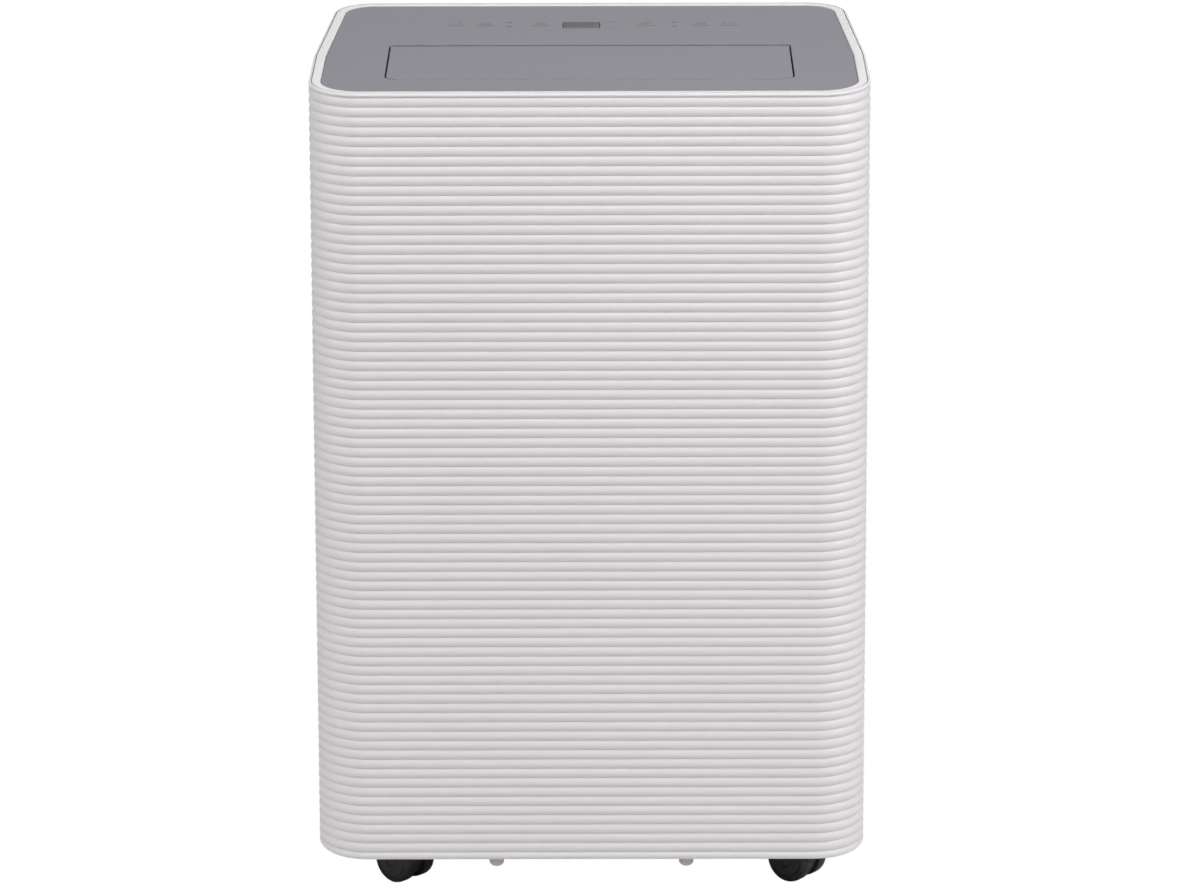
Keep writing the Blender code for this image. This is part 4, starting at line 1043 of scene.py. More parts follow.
def grille(low, high):
    """A frame with rows of slats and upright bars behind them, and a tab at each side."""
    middle = (low + high) / 2
    inside = high - low - Vector((GRILLE_FRAME, 0.0, GRILLE_FRAME)) * 2
    count = int(inside.z / SLAT_PITCH)
    values = {
        "Rows": count,
        "Pitch": SLAT_PITCH,
        "Length": inside.x + 0.002,
        "Depth": SLAT_DEPTH,
        "Height": SLAT_HEIGHT,
        "Edge": SLAT_EDGE,
        "Lean": radians(18),
        "Material": shell_plastic,
    }
    empty = bpy.data.objects.new("source", bpy.data.meshes.new("source"))
    slats = tidied(grown(empty, louvres, values), radians(40))
    slats.transform(Matrix.Translation((middle.x, high.y - 0.0024, middle.z)))
    shapes = [frame_of(low, high, GRILLE_FRAME, 0.0006), slats]
    bars = int(inside.x / BAR_PITCH)
    for number in range(bars):
        x = middle.x + (number - (bars - 1) / 2) * BAR_PITCH
        start = (x - BAR_WIDTH / 2, low.y + 0.0002, low.z + GRILLE_FRAME - 0.001)
        shapes.append(
            block(start, (x + BAR_WIDTH / 2, low.y + 0.0022, high.z - GRILLE_FRAME + 0.001), 0.0003)
        )
    for side in (-1, 1):
        x = middle.x + side * (inside.x / 2 - 0.018)
        start = (x - 0.012, high.y - 0.0022, low.z + 0.0022)
        tab = block(start, (x + 0.012, high.y - 0.0001, low.z + 0.0062), 0.0007)
        shapes.append(tab)
    return joined(*shapes)


for name, body in (("upper_grille", "upper_intake"), ("lower_grille", "lower_intake")):
    mesh = grille(*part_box(name))
    new_piece(name + "_louvred", mesh, shell_plastic, body, "white_shell", name)


# Dust filters: a fine blue-grey nylon mesh in a slim black frame, clipped behind each rear grille.
FILTER_FRAME = 0.006
FILTER_PITCH = 0.0014
FILTER_THREAD = 0.00045
FILTER_BLUE = (0.045, 0.105, 0.140)

filter_nylon, place = finish("filter_nylon", Base_Color=FILTER_BLUE, Roughness=0.7)
axes = place.node("ShaderNodeSeparateXYZ", {}, {"Vector": place}).socket.node.outputs
gap_share = 1 - FILTER_THREAD / FILTER_PITCH
threads = []
for axis in ("X", "Z"):
    along = Signal(filter_nylon.node_tree, axes[axis])
    threads.append(((along / FILTER_PITCH).math("FRACT") * 2 - 1).math("ABSOLUTE") > gap_share)
woven = threads[0].math("MAXIMUM", threads[0], threads[1])
dust = grain(place, 25.0, 3.0)
feed(filter_nylon, "Alpha", woven)
feed(filter_nylon, "Base Color", dust.blend(FILTER_BLUE, (0.075, 0.125, 0.150)))
feed(filter_nylon, "Roughness", 0.62 + dust * 0.15)
filter_frame_plastic = moulded_plastic("filter_frame_plastic", (0.030, 0.032, 0.036), 0.5)
for name, body in (("upper_filter", "upper_intake"), ("lower_filter", "lower_intake")):
    low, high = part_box(name)
    shapes = [frame_of(low, high, FILTER_FRAME, 0.0004)]
    for number in range(1, 6):
        x = low.x + (high.x - low.x) * number / 6
        start = (x - 0.0012, low.y + 0.0004, low.z + FILTER_FRAME - 0.001)
        shapes.append(block(start, (x + 0.0012, high.y - 0.0008, high.z - FILTER_FRAME + 0.001), 0.0003))
    new_piece(name + "_frame", joined(*shapes), filter_frame_plastic, body, "filter_mesh", name)
    inner = Vector((FILTER_FRAME - 0.0015, 0.0, FILTER_FRAME - 0.0015))
    sheet_low = Vector((low.x, high.y - 0.0009, low.z)) + inner
    sheet_high = Vector((high.x, high.y - 0.0006, high.z)) - inner
    sheet = block(sheet_low, sheet_high)
    new_piece(name + "_mesh", sheet, filter_nylon, body, "filter_mesh")


# Hose outlet: a white collar that the exhaust hose twists on to, with four bayonet lugs inside its
# mouth, and a moulded finger guard of round bars and rings set back in it.
LUG_WIDTH = radians(22)
LUG_RISE = 0.0026
GUARD_BAR = 0.0011
GUARD_RINGS = (0.018, 0.033, 0.048)

low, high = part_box("exhaust_collar")
outlet = (low + high) / 2
outer_radius = (high.x - low.x) / 2
guard_low, guard_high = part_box("exhaust_guard")
guard_radius = (guard_high.x - guard_low.x) / 2
bore_radius = guard_radius + 0.0003
depth = high.y - low.y
ring_profile = (
    (bore_radius, 0.0),
    (outer_radius, 0.0),
    (outer_radius, depth - 0.0010),
    (outer_radius - 0.0004, depth - 0.0003),
    (outer_radius - 0.0011, depth),
    (bore_radius + 0.0007, depth),
    (bore_radius, depth - 0.0007),
)
collar_shapes = [turned(ring_profile, (outlet.x, low.y, outlet.z), (0, 1, 0), 96)]
for number in range(4):
    middle_turn = radians(45 + 90 * number)
    ends = (middle_turn - LUG_WIDTH / 2, middle_turn + LUG_WIDTH / 2)
    lug = corner_arc((0, 0), (bore_radius + 0.0008,) * 2, *ends, 6)
    lug += corner_arc((0, 0), (bore_radius - LUG_RISE,) * 2, ends[1], ends[0], 6)
    shape = filled([lug], 0.0, 0.0024, 0.0004)
    collar_shapes.append(upright(shape, high.y - 0.0044, outlet.x, outlet.z))
collar_mesh = joined(*collar_shapes)
new_piece("exhaust_collar_bayonet", collar_mesh, shell_plastic, "cabinet", "white_shell", "exhaust_collar")


def ring_of(radius, bar, place, steps=64):
    """A round-bar ring that faces the rear."""
    profile = [(radius + bar * cos(radians(45 * step)), bar * sin(radians(45 * step))) for step in range(8)]
    return turned(profile, place, (0, 1, 0), steps)


guard_middle = (outlet.x, (guard_low.y + guard_high.y) / 2, outlet.z)
guard_shapes = [ring_of(radius, GUARD_BAR, guard_middle) for radius in GUARD_RINGS]
guard_shapes.append(ring_of(guard_radius - 0.0016, 0.0014, guard_middle))
for number in range(6):
    turn = radians(30 * number + 15)
    reach = guard_radius - 0.0010
    ray = Vector((cos(turn), 0.0, sin(turn)))
    spoke = ((0.0, 0.0), (GUARD_BAR, 0.0), (GUARD_BAR, 2 * reach), (0.0, 2 * reach))
    guard_shapes.append(turned(spoke, Vector(guard_middle) - ray * reach, ray, 12))
boss = (
    (0.0, -0.0014),
    (0.0045, -0.0014),
    (0.0052, -0.0007),
    (0.0052, 0.0009),
    (0.0046, 0.0014),
    (0.0, 0.0014),
)
guard_shapes.append(turned(boss, guard_middle, (0, 1, 0), 28))
new_piece(
    "exhaust_finger_guard", joined(*guard_shapes), shell_plastic, "cabinet", "white_shell", "exhaust_guard"
)


# Drain plugs and cord gland: black rubber bungs with a finger bar across a recess, and a ribbed
# rubber strain relief that the power cord would leave by.
rubber, place = finish("bung_rubber", Base_Color=(0.018, 0.018, 0.019), Roughness=0.8)
scuff = grain(place, 800.0, 3.0)
feed(rubber, "Base Color", scuff.blend((0.014, 0.014, 0.015), (0.030, 0.030, 0.031)))
feed(rubber, "Roughness", 0.72 + scuff * 0.16)
bumped(rubber, scuff, 0.00005)
for name in ("drain_plug", "drain_cap"):
    low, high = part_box(name)
    middle = (low + high) / 2
    radius = (high.x - low.x) / 2
    length = high.y - low.y
    bung = (
        (0.0, 0.0),
        (radius - 0.0016, 0.0),
        (radius - 0.0006, 0.0012),
        (radius - 0.0006, 0.0030),
        (radius - 0.0002, 0.0036),
        (radius - 0.0006, 0.0042),
        (radius, length - 0.0030),
        (radius, length - 0.0006),
        (radius - 0.0005, length),
        (radius - 0.0014, length),
        (radius - 0.0018, length - 0.0005),
        (radius - 0.0020, length - 0.0028),
        (0.0, length - 0.0030),
    )
    shapes = [turned(bung, (middle.x, low.y, middle.z), (0, 1, 0), 40)]
    reach = radius - 0.0016
    start = (middle.x - reach, high.y - 0.0034, middle.z - 0.0010)
    shapes.append(block(start, (middle.x + reach, high.y - 0.0005, middle.z + 0.0010), 0.0004))
    new_piece(name + "_bung", joined(*shapes), rubber, name, "black_rubber", name)

low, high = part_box("cord_gland")
middle = (low + high) / 2
radius = (high.x - low.x) / 2
length = high.y - low.y
bore = 0.0035
relief = [(bore, 0.0), (radius, 0.0), (radius, length * 0.42)]
for ridge in range(3):
    start = length * (0.42 + 0.17 * ridge)
    drawn_in = radius - 0.0005 - 0.0008 * ridge
    groove = drawn_in - 0.0007
    relief += [(groove, start + 0.0003), (groove, start + 0.0008)]
    relief += [(drawn_in, start + 0.0011), (drawn_in, start + 0.0017)]
relief += [(radius - 0.0030, length), (bore + 0.0006, length), (bore, length - 0.0006)]
gland = turned(relief, (middle.x, low.y, middle.z), (0, 1, 0), 40)
new_piece("cord_strain_relief", gland, rubber, "cabinet", "black_plastic", "cord_gland")


# Hand grips: a white moulded cup let into each side of the rear shell, with a ribbed upper lip for
# the fingers. The cups clip in from inside.
GRIP_RIBS = 9
for name, side in (("grip_left", -1), ("grip_right", 1)):
    low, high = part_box(name)
    wall = 0.002
    outer = rounded_box(low.y, low.z, high.y, high.z, (0.005, 0.005), 6)
    inner = rounded_box(low.y + wall, low.z + wall, high.y - wall, high.z - wall, (0.0035, 0.0035), 6)
    reach = high.x - low.x
    cup = filled([outer, inner], 0.0, reach, 0.0006)
    back_plate = filled([outer], 0.0, wall, 0.0)
    shapes = [cup, back_plate]
    for number in range(GRIP_RIBS):
        y = (low.y + high.y) / 2 + (number - (GRIP_RIBS - 1) / 2) * 0.009
        start = (y - 0.0014, high.z - wall - 0.0009, 0.004)
        shapes.append(block(start, (y + 0.0014, high.z - wall + 0.0005, reach - 0.003), 0.0005))
    mesh = joined(*shapes)
    start = low.x if side > 0 else high.x
    mesh.transform(Matrix(((0, 0, side, start), (1, 0, 0, 0), (0, 1, 0, 0), (0, 0, 0, 1))))
    if side < 0:
        mesh.flip_normals()
    new_piece(name + "_cup", mesh, shell_plastic, "cabinet", "white_shell", name)


# Cover screws: zinc cross-head screws along the seam side of the rear shell, each sunk in a small
# round pocket. They hold the rear shell to the base pan, the deck and the front shell.
zinc, place = finish("zinc_screw", Base_Color=(0.55, 0.55, 0.56), Metallic=1.0, Roughness=0.32)
brushed = grain(place, 2200.0, 3.0)
feed(zinc, "Roughness", 0.24 + brushed * 0.20)
bumped(zinc, brushed, 0.00001)


def screw_head(radius, rise):
    """A pan head with a cross recess, whose top faces +Z."""
    head = (
        (0.0, 0.0),
        (radius, 0.0),
        (radius, rise * 0.35),
        (radius * 0.8, rise * 0.85),
        (radius * 0.35, rise),
        (0.0, rise),
    )
    slots = [
        block((-radius * 0.55, -radius * 0.10, rise * 0.45), (radius * 0.55, radius * 0.10, rise * 1.5)),
        block((-radius * 0.10, -radius * 0.55, rise * 0.45), (radius * 0.10, radius * 0.55, rise * 1.5)),
    ]
    return drilled(drilled(turned(head, (0, 0, 0), (0, 0, 1), 24), slots[:1]), slots[1:])


screw = screw_head(0.0034, 0.0016)
shapes = []
for level in SCREW_LEVELS:
    for side in (-1, 1):
        placed = screw.copy()
        placed.transform(Matrix.Rotation(-pi / 2, 4, "X"))
        placed.transform(Matrix.Translation((side * SCREW_X, rear_high.y - RIB_DEPTH - 0.0018, level)))
        shapes.append(placed)
new_piece("rear_screws", joined(*shapes), zinc, "cabinet", "steel")


# Coils: the condenser below and the evaporator above, each two rows of copper hairpins through thin
# aluminium fins, between galvanised end plates, with brazed return bends outside the plates.
FIN_PITCH = 0.0019
FIN_THICKNESS = 0.00022
TUBE_RADIUS = 0.0035
TUBE_PITCH = 0.0205
ROW_PITCH = 0.018
PLATE_THICKNESS = 0.0012
BEND_REACH = 0.0085

aluminium, place = finish("fin_aluminium", Base_Color=(0.62, 0.63, 0.64), Metallic=1.0, Roughness=0.38)
film = grain(place, 35.0, 4.0)
lines = grain(place, 900.0, 2.0)
feed(aluminium, "Base Color", film.blend((0.50, 0.51, 0.53), (0.68, 0.69, 0.70)))
feed(aluminium, "Roughness", 0.30 + film * 0.14 + lines * 0.06)
bumped(aluminium, lines, 0.00002)
copper, place = finish("copper_tube", Base_Color=(0.55, 0.235, 0.120), Metallic=1.0, Roughness=0.3)
tarnish = grain(place, 70.0, 5.0)
scratch = grain(place, 1500.0, 2.0)
feed(copper, "Base Color", tarnish.blend((0.58, 0.26, 0.14), (0.36, 0.135, 0.070)))
feed(copper, "Roughness", 0.22 + tarnish * 0.20 + scratch * 0.06)
bumped(copper, scratch, 0.00001)
galvanised, place = finish("galvanised_sheet", Base_Color=(0.46, 0.47, 0.48), Metallic=1.0, Roughness=0.4)
spangle = place.node("ShaderNodeTexVoronoi", {}, {"Vector": place, "Scale": 260.0}, 1)
shade = spangle.node("ShaderNodeSeparateXYZ", {}, {"Vector": spangle})
feed(galvanised, "Base Color", shade.blend((0.38, 0.39, 0.40), (0.54, 0.55, 0.56)))
feed(galvanised, "Roughness", 0.30 + shade * 0.18)
bumped(galvanised, shade, 0.00001)

fin_stack, fin = geometry_tree(
    "fin_stack",
    {
        "Fins": "Int",
        "Pitch": "Float",
        "Thickness": "Float",
        "Depth": "Float",
        "Height": "Float",
        "Material": "Material",
    },
)
size = fin["Depth"].node(
    "ShaderNodeCombineXYZ", {}, {"X": fin["Thickness"], "Y": fin["Depth"], "Z": fin["Height"]}
)
single = size.node("GeometryNodeMeshCube", {}, {"Size": size})
step = fin["Pitch"].node("ShaderNodeCombineXYZ", {}, {"X": fin["Pitch"]})
first = fin["Pitch"].node("ShaderNodeCombineXYZ", {}, {"X": (fin["Fins"] - 1) * fin["Pitch"] * -0.5})
stack = step.node(
    "GeometryNodeMeshLine",
    {"mode": "OFFSET"},
    {"Count": fin["Fins"], "Start Location": first, "Offset": step},
)
copies = stack.node("GeometryNodeInstanceOnPoints", {}, {"Points": stack, "Instance": single})
close_tree(fin_stack, copies, fin["Material"])


def bent(points, radius, corner, steps=7, sides=16):
    """A round tube through points, whose corners are bent to a radius."""
    points = [Vector(point) for point in points]
    route = [points[0]]
    for before, at, after in zip(points, points[1:], points[2:]):
        arm = min(corner, (before - at).length * 0.49, (after - at).length * 0.49)
        start = at + (before - at).normalized() * arm
        end = at + (after - at).normalized() * arm
        for step in range(steps + 1):
            share = step / steps
            route.append(start * (1 - share) ** 2 + at * 2 * share * (1 - share) + end * share**2)
    route.append(points[-1])
    curve = bpy.data.curves.new("route", "CURVE")
    curve.dimensions = "3D"
    curve.bevel_depth = radius
    curve.bevel_resolution = sides // 4
    curve.use_fill_caps = True
    spline = curve.splines.new("POLY")
    spline.points.add(len(route) - 1)
    for point, spot in zip(spline.points, route):
        point.co = (*spot, 1.0)
    drawn = bpy.data.objects.new("route", curve)
    mesh = bpy.data.meshes.new_from_object(drawn)
    bpy.data.objects.remove(drawn)
    return tidied(mesh, radians(40))


for name in ("condenser_coil", "evaporator_coil"):
    low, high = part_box(name)
    middle = (low + high) / 2
    between = high.x - low.x - 2 * (BEND_REACH + PLATE_THICKNESS)
    fins = int(between / FIN_PITCH)
    values = {
        "Fins": fins,
        "Pitch": FIN_PITCH,
        "Thickness": FIN_THICKNESS,
        "Depth": high.y - low.y - 0.0015,
        "Height": high.z - low.z - 0.0020,
        "Material": aluminium,
    }
    empty = bpy.data.objects.new("source", bpy.data.meshes.new("source"))
    stack_mesh = grown(empty, fin_stack, values)
    stack_mesh.transform(Matrix.Translation(middle))
    new_piece(name + "_fins", stack_mesh, aluminium, "cabinet", "aluminium_fins", name)
    plates = []
    for side in (-1, 1):
        x = middle.x + side * (between / 2 + PLATE_THICKNESS)
        plates.append(
            block((x - PLATE_THICKNESS / 2, low.y, low.z), (x + PLATE_THICKNESS / 2, high.y, high.z), 0.0003)
        )
        for edge_y in (low.y + PLATE_THICKNESS / 2, high.y - PLATE_THICKNESS / 2):
            ends = sorted((x, x + side * 0.006))
            start = (ends[0], edge_y - PLATE_THICKNESS / 2, low.z)
            plates.append(block(start, (ends[1], edge_y + PLATE_THICKNESS / 2, high.z), 0.0003))
    new_piece(name + "_end_plates", joined(*plates), galvanised, "cabinet", "steel")
    levels = int((high.z - low.z - 0.012) / TUBE_PITCH)
    tubes = []
    reach = between / 2 + PLATE_THICKNESS * 1.5
    for row in (-1, 1):
        y = middle.y + row * ROW_PITCH / 2
        heights = [middle.z + (number - (levels - 1) / 2) * TUBE_PITCH for number in range(levels)]
        for number, z in enumerate(heights):
            straight = ((0.0, -reach), (TUBE_RADIUS, -reach), (TUBE_RADIUS, reach), (0.0, reach))
            tubes.append(turned(straight, (middle.x, y, z), (1, 0, 0), 12))
            side = 1 if number % 2 else -1
            if number + 1 < levels:
                start = middle.x + side * reach
                tip = start + side * (BEND_REACH - TUBE_RADIUS - 0.0012)
                above = heights[number + 1]
                turn_points = [(start, y, z), (tip, y, z), (tip, y, above), (start, y, above)]
                tubes.append(bent(turn_points, TUBE_RADIUS, 0.0085, 6, 12))
    new_piece(name + "_tubes", joined(*tubes), copper, "cabinet", "copper_tube")


# Fans: two black centrifugal wheels of glass-filled nylon with forward-curved blades between a back
# disc and a front ring. Each is pressed on the D-shaft of a galvanised motor.
BLADES = 36
BLADE_STEPS = 6
BLADE_CHORD = 0.0100
BLADE_SWEEP = radians(52)
BLADE_SHEET = 0.0009
FAN_WALL = 0.002

wheel_nylon = moulded_plastic("wheel_nylon", (0.024, 0.024, 0.027), 0.48, 0.00004, 0.12)
blade_ring, blade = geometry_tree(
    "blade_ring",
    {
        "Blades": "Int",
        "Steps": "Int",
        "Radius": "Float",
        "Chord": "Float",
        "Sweep": "Float",
        "Span": "Float",
        "Thickness": "Float",
        "Material": "Material",
    },
)
points = blade["Steps"].node("GeometryNodeMeshLine", {"mode": "OFFSET"}, {"Count": blade["Steps"]})
index = points.node("GeometryNodeInputIndex", {}, {})
share = index / (blade["Steps"] - 1)
outward = blade["Radius"] - blade["Chord"] * share
lag = blade["Sweep"] * share * share * blade["Chord"] / blade["Radius"]
place = outward.node(
    "ShaderNodeCombineXYZ", {}, {"X": outward * lag.math("COSINE", lag), "Y": outward * lag.math("SINE", lag)}
)
points = points.node("GeometryNodeSetPosition", {}, {"Geometry": points, "Position": place})
edge = points.node("GeometryNodeMeshToCurve", {}, {"Mesh": points})
rise = blade["Span"].node("ShaderNodeCombineXYZ", {}, {"Z": blade["Span"]})
span_line = rise.node("GeometryNodeCurvePrimitiveLine", {}, {"End": rise})
surface = edge.node("GeometryNodeCurveToMesh", {}, {"Curve": span_line, "Profile Curve": edge})
thick = surface.node(
    "GeometryNodeExtrudeMesh",
    {"mode": "FACES"},
    {"Mesh": surface, "Offset Scale": blade["Thickness"], "Individual": False},
)
flipped = surface.node("GeometryNodeFlipFaces", {}, {"Mesh": surface})
solid = thick.node("GeometryNodeJoinGeometry", {}, {"Geometry": thick})
plug(blade_ring, solid.socket.node.inputs["Geometry"], flipped)
circle = solid.node("GeometryNodeMeshCircle", {}, {"Vertices": blade["Blades"], "Radius": 0.001})
circle_index = circle.node("GeometryNodeInputIndex", {}, {})
spin = circle.node("ShaderNodeCombineXYZ", {}, {"Z": circle_index * 2 * pi / blade["Blades"]})
centred = circle.node("GeometryNodeSetPosition", {}, {"Geometry": circle, "Position": (0.0, 0.0, 0.0)})
copies = centred.node(
    "GeometryNodeInstanceOnPoints", {}, {"Points": centred, "Instance": solid, "Rotation": spin}
)
close_tree(blade_ring, copies, blade["Material"])

for name in ("upper_fan", "lower_fan"):
    low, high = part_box(name)
    middle = (low + high) / 2
    radius = (high.x - low.x) / 2
    length = high.y - low.y
    values = {
        "Blades": BLADES,
        "Steps": BLADE_STEPS,
        "Radius": radius - 0.0006,
        "Chord": BLADE_CHORD,
        "Sweep": BLADE_SWEEP,
        "Span": length - FAN_WALL,
        "Thickness": BLADE_SHEET,
        "Material": wheel_nylon,
    }
    empty = bpy.data.objects.new("source", bpy.data.meshes.new("source"))
    blades = tidied(grown(empty, blade_ring, values), radians(35))
    blades.transform(
        Matrix.Translation((middle.x, low.y + FAN_WALL * 0.5, middle.z)) @ Matrix.Rotation(-pi / 2, 4, "X")
    )
    back = (
        (0.0045, 0.0),
        (0.0100, 0.0),
        (0.0120, 0.0010),
        (radius - 0.016, 0.0002),
        (radius - 0.001, 0.0002),
        (radius, 0.0009),
        (radius, FAN_WALL),
        (radius - 0.016, FAN_WALL),
        (0.0135, FAN_WALL + 0.0012),
        (0.0100, 0.0050),
        (0.0092, 0.0180),
        (0.0045, 0.0180),
    )
    rim = (
        (radius - 0.0102, length - FAN_WALL),
        (radius - 0.0006, length - FAN_WALL),
        (radius, length - FAN_WALL * 0.6),
        (radius, length - 0.0003),
        (radius - 0.0004, length),
        (radius - 0.0095, length),
        (radius - 0.0102, length - 0.0006),
    )
    start = (middle.x, low.y, middle.z)
    shapes = [blades, turned(back, start, (0, 1, 0), 72), turned(rim, start, (0, 1, 0), 72)]
    for number in range(6):
        turn = radians(60 * number)
        gusset = block((-0.0006, 0.0, 0.0085), (0.0006, 0.0110, 0.0170), 0.0002)
        gusset.transform(Matrix.Rotation(turn, 4, "Y"))
        gusset.transform(Matrix.Translation((middle.x, low.y + 0.0012, middle.z)))
        shapes.append(gusset)
    new_piece(name + "_wheel", joined(*shapes), wheel_nylon, name, "fan_plastic", name)

lacquer_and_vent_shade = moulded_plastic("motor_lacquer", (0.060, 0.060, 0.064), 0.45, 0.00003, 0.10)
for name in ("upper_fan_motor", "lower_fan_motor"):
    low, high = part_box(name)
    radius = (high.x - low.x) / 2
    middle = (low + high) / 2
    body_length = 0.040
    can = (
        (0.0, 0.0),
        (0.0100, 0.0),
        (0.0115, 0.0015),
        (radius * 0.80, 0.0030),
        (radius * 0.93, 0.0055),
        (radius * 0.93, 0.0120),
        (radius, 0.0128),
        (radius, 0.0272),
        (radius * 0.93, 0.0280),
        (radius * 0.93, body_length - 0.0050),
        (radius * 0.82, body_length - 0.0020),
        (0.0115, body_length - 0.0010),
        (0.0100, body_length),
        (0.0040, body_length),
        (0.0040, high.y - low.y - 0.0006),
        (0.0034, high.y - low.y),
        (0.0, high.y - low.y),
    )
    can_mesh = turned(can, (middle.x, low.y, middle.z), (0, 1, 0), 64)
    new_piece(name + "_can", can_mesh, galvanised, "cabinet", "steel", name)
    # The vent slots are black blocks on the end of the can: their black is partly the lacquered windings
    # behind the slots and partly painted shade inside the openings.
    slots = []
    for number in range(12):
        vent = block((radius * 0.42, -0.0001, -0.0016), (radius * 0.72, 0.0026, 0.0016), 0.0004)
        vent.transform(Matrix.Rotation(radians(30 * number), 4, "Y"))
        vent.transform(Matrix.Translation((middle.x, low.y + 0.0012, middle.z)))
        slots.append(vent)
    band = (
        (radius * 0.86, 0.0),
        (radius + 0.0004, 0.0),
        (radius + 0.0004, 0.0100),
        (radius * 0.86, 0.0100),
    )
    slots.append(turned(band, (middle.x, low.y + 0.0150, middle.z), (0, 1, 0), 64))
    new_piece(name + "_vents", joined(*slots), lacquer_and_vent_shade, "cabinet", "steel")


# Compressor and accumulator: drawn and welded steel shells in semi-gloss black. The compressor
# stands on three rubber mounts, bolted through its legs, with a terminal cover on top.
black_enamel, place = finish("black_enamel", Base_Color=(0.012, 0.012, 0.013), Roughness=0.3)
orange_peel = grain(place, 480.0, 2.0)
wear = grain(place, 22.0, 4.0)
feed(black_enamel, "Base Color", wear.blend((0.010, 0.010, 0.011), (0.020, 0.020, 0.021)))
feed(black_enamel, "Roughness", 0.22 + wear * 0.20)
bumped(black_enamel, orange_peel, 0.00008)


def drum(radius, height, dome, seam):
    """A domed drum with a raised weld seam round it."""
    lower = [
        (radius * sin(turn), dome - dome * cos(turn)) for turn in [radians(9 * step) for step in range(11)]
    ]
    upper = [
        (radius * cos(turn), height - dome + dome * sin(turn))
        for turn in [radians(9 * step) for step in range(11)]
    ]
    bead = [
        (radius, seam - 0.0022),
        (radius + 0.0009, seam - 0.0010),
        (radius + 0.0009, seam + 0.0010),
        (radius, seam + 0.0022),
    ]
    return [(0.0, 0.0)] + lower[1:] + bead + upper[:-1] + [(0.0, height)]


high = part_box("compressor")[1]
mounts = [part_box(f"rubber_mount_{number}") for number in (1, 2, 3)]
centre = sum(((a + b) / 2 for a, b in mounts), Vector()) / 3
shell_radius = 0.056
leg_top = mounts[0][1].z
shell_bottom = leg_top + 0.0023
height = high.z - shell_bottom
shell_shape = drum(shell_radius, height, 0.022, height * 0.86)
shapes = [turned(shell_shape, (centre.x, centre.y, shell_bottom), (0, 0, 1), 64)]
for a, b in mounts:
    spot = (a + b) / 2
    ray = Vector((spot.x - centre.x, spot.y - centre.y, 0.0))
    turn = Matrix.Rotation(Vector((1, 0)).angle_signed(Vector((ray.x, ray.y))) * -1, 4, "Z")
    reach = ray.length
    tip = corner_arc((reach, 0.0), (0.0118, 0.0118), -pi / 2, pi / 2, 12)
    leg = filled([[(0.010, -0.0118)] + tip + [(0.010, 0.0118)]], 0.0003, 0.0038, 0.0005)
    leg.transform(Matrix.Translation((centre.x, centre.y, leg_top)) @ turn)
    shapes.append(leg)
new_piece("compressor_shell", joined(*shapes), black_enamel, "cabinet", "black_steel", "compressor")
cap_profile = ((0.0, 0.0), (0.0175, 0.0), (0.0180, 0.0012), (0.0172, 0.0085), (0.0150, 0.0100), (0.0, 0.0104))
cap_place = (centre.x - 0.024, centre.y - 0.012, high.z - 0.0058)
terminal = turned(cap_profile, cap_place, (0, 0, 1), 40)
new_piece("compressor_terminal_cover", terminal, caster_nylon, "cabinet", "black_plastic")
shapes = []
for number, (a, b) in enumerate(mounts, 1):
    spot = (a + b) / 2
    radius = (b.x - a.x) / 2
    tall = b.z - a.z
    grommet = (
        (0.0, 0.0),
        (radius, 0.0),
        (radius, tall * 0.24),
        (radius * 0.74, tall * 0.34),
        (radius * 0.74, tall * 0.46),
        (radius, tall * 0.56),
        (radius, tall * 0.70),
        (radius * 0.74, tall * 0.80),
        (radius * 0.80, tall),
        (0.0, tall),
    )
    name = f"rubber_mount_{number}"
    mesh = turned(grommet, (spot.x, spot.y, a.z), (0, 0, 1), 36)
    new_piece(name + "_grommet", mesh, rubber, "cabinet", "black_rubber", name)
    bolt = screw_head(0.0058, 0.0030)
    bolt.transform(Matrix.Translation((spot.x, spot.y, leg_top + 0.0036)))
    shapes.append(bolt)
new_piece("compressor_bolts", joined(*shapes), zinc, "cabinet", "steel")
low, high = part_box("accumulator")
middle = (low + high) / 2
radius = (high.x - low.x) / 2 - 0.0009
tall = high.z - low.z
bottle = turned(drum(radius, tall, 0.012, tall * 0.5), (middle.x, middle.y, low.z), (0, 0, 1), 40)
new_piece("accumulator_bottle", bottle, black_enamel, "cabinet", "black_steel", "accumulator")


# Refrigerant lines: bright copper tube bent to shape, brazed to the compressor, the accumulator and
# both coils. The suction line wears black foam lagging, and the liquid line is a thin capillary.
DISCHARGE_RADIUS = 0.004
SUCTION_RADIUS = 0.0045
LIQUID_RADIUS = 0.003
PIPE_BEND = 0.018
PIPE_SHRINK = 0.0002
END_LAP = 0.0002

coil_low, coil_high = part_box("condenser_coil")
upper_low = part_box("evaporator_coil")[0]
coil_y = (coil_low.y + coil_high.y) / 2
shell_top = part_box("compressor")[1].z
box_low, box_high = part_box("discharge_pipe")
side_x = box_low.x + DISCHARGE_RADIUS
rise_z = box_high.z - DISCHARGE_RADIUS
route = [
    (centre.x, centre.y, shell_top - END_LAP),
    (centre.x, centre.y, rise_z),
    (centre.x, coil_y, rise_z),
    (side_x, coil_y, rise_z),
    (side_x, coil_y, coil_high.z - 0.020),
    (coil_low.x + 0.001, coil_y, coil_high.z - 0.020),
]
tube = bent(route, DISCHARGE_RADIUS - PIPE_SHRINK, PIPE_BEND)
new_piece("discharge_line", tube, copper, "cabinet", "copper_tube", "discharge_pipe")
box_low, box_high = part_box("liquid_pipe")
front_y = (box_low.y + box_high.y) / 2
side_x = box_low.x + LIQUID_RADIUS
route = [
    (coil_low.x + 0.001, front_y, coil_low.z + 0.020),
    (side_x, front_y, coil_low.z + 0.020),
    (side_x, front_y, upper_low.z + 0.060),
    (upper_low.x + 0.001, front_y, upper_low.z + 0.060),
]
tube = bent(route, LIQUID_RADIUS - PIPE_SHRINK, PIPE_BEND)
new_piece("liquid_line", tube, copper, "cabinet", "copper_tube", "liquid_pipe")
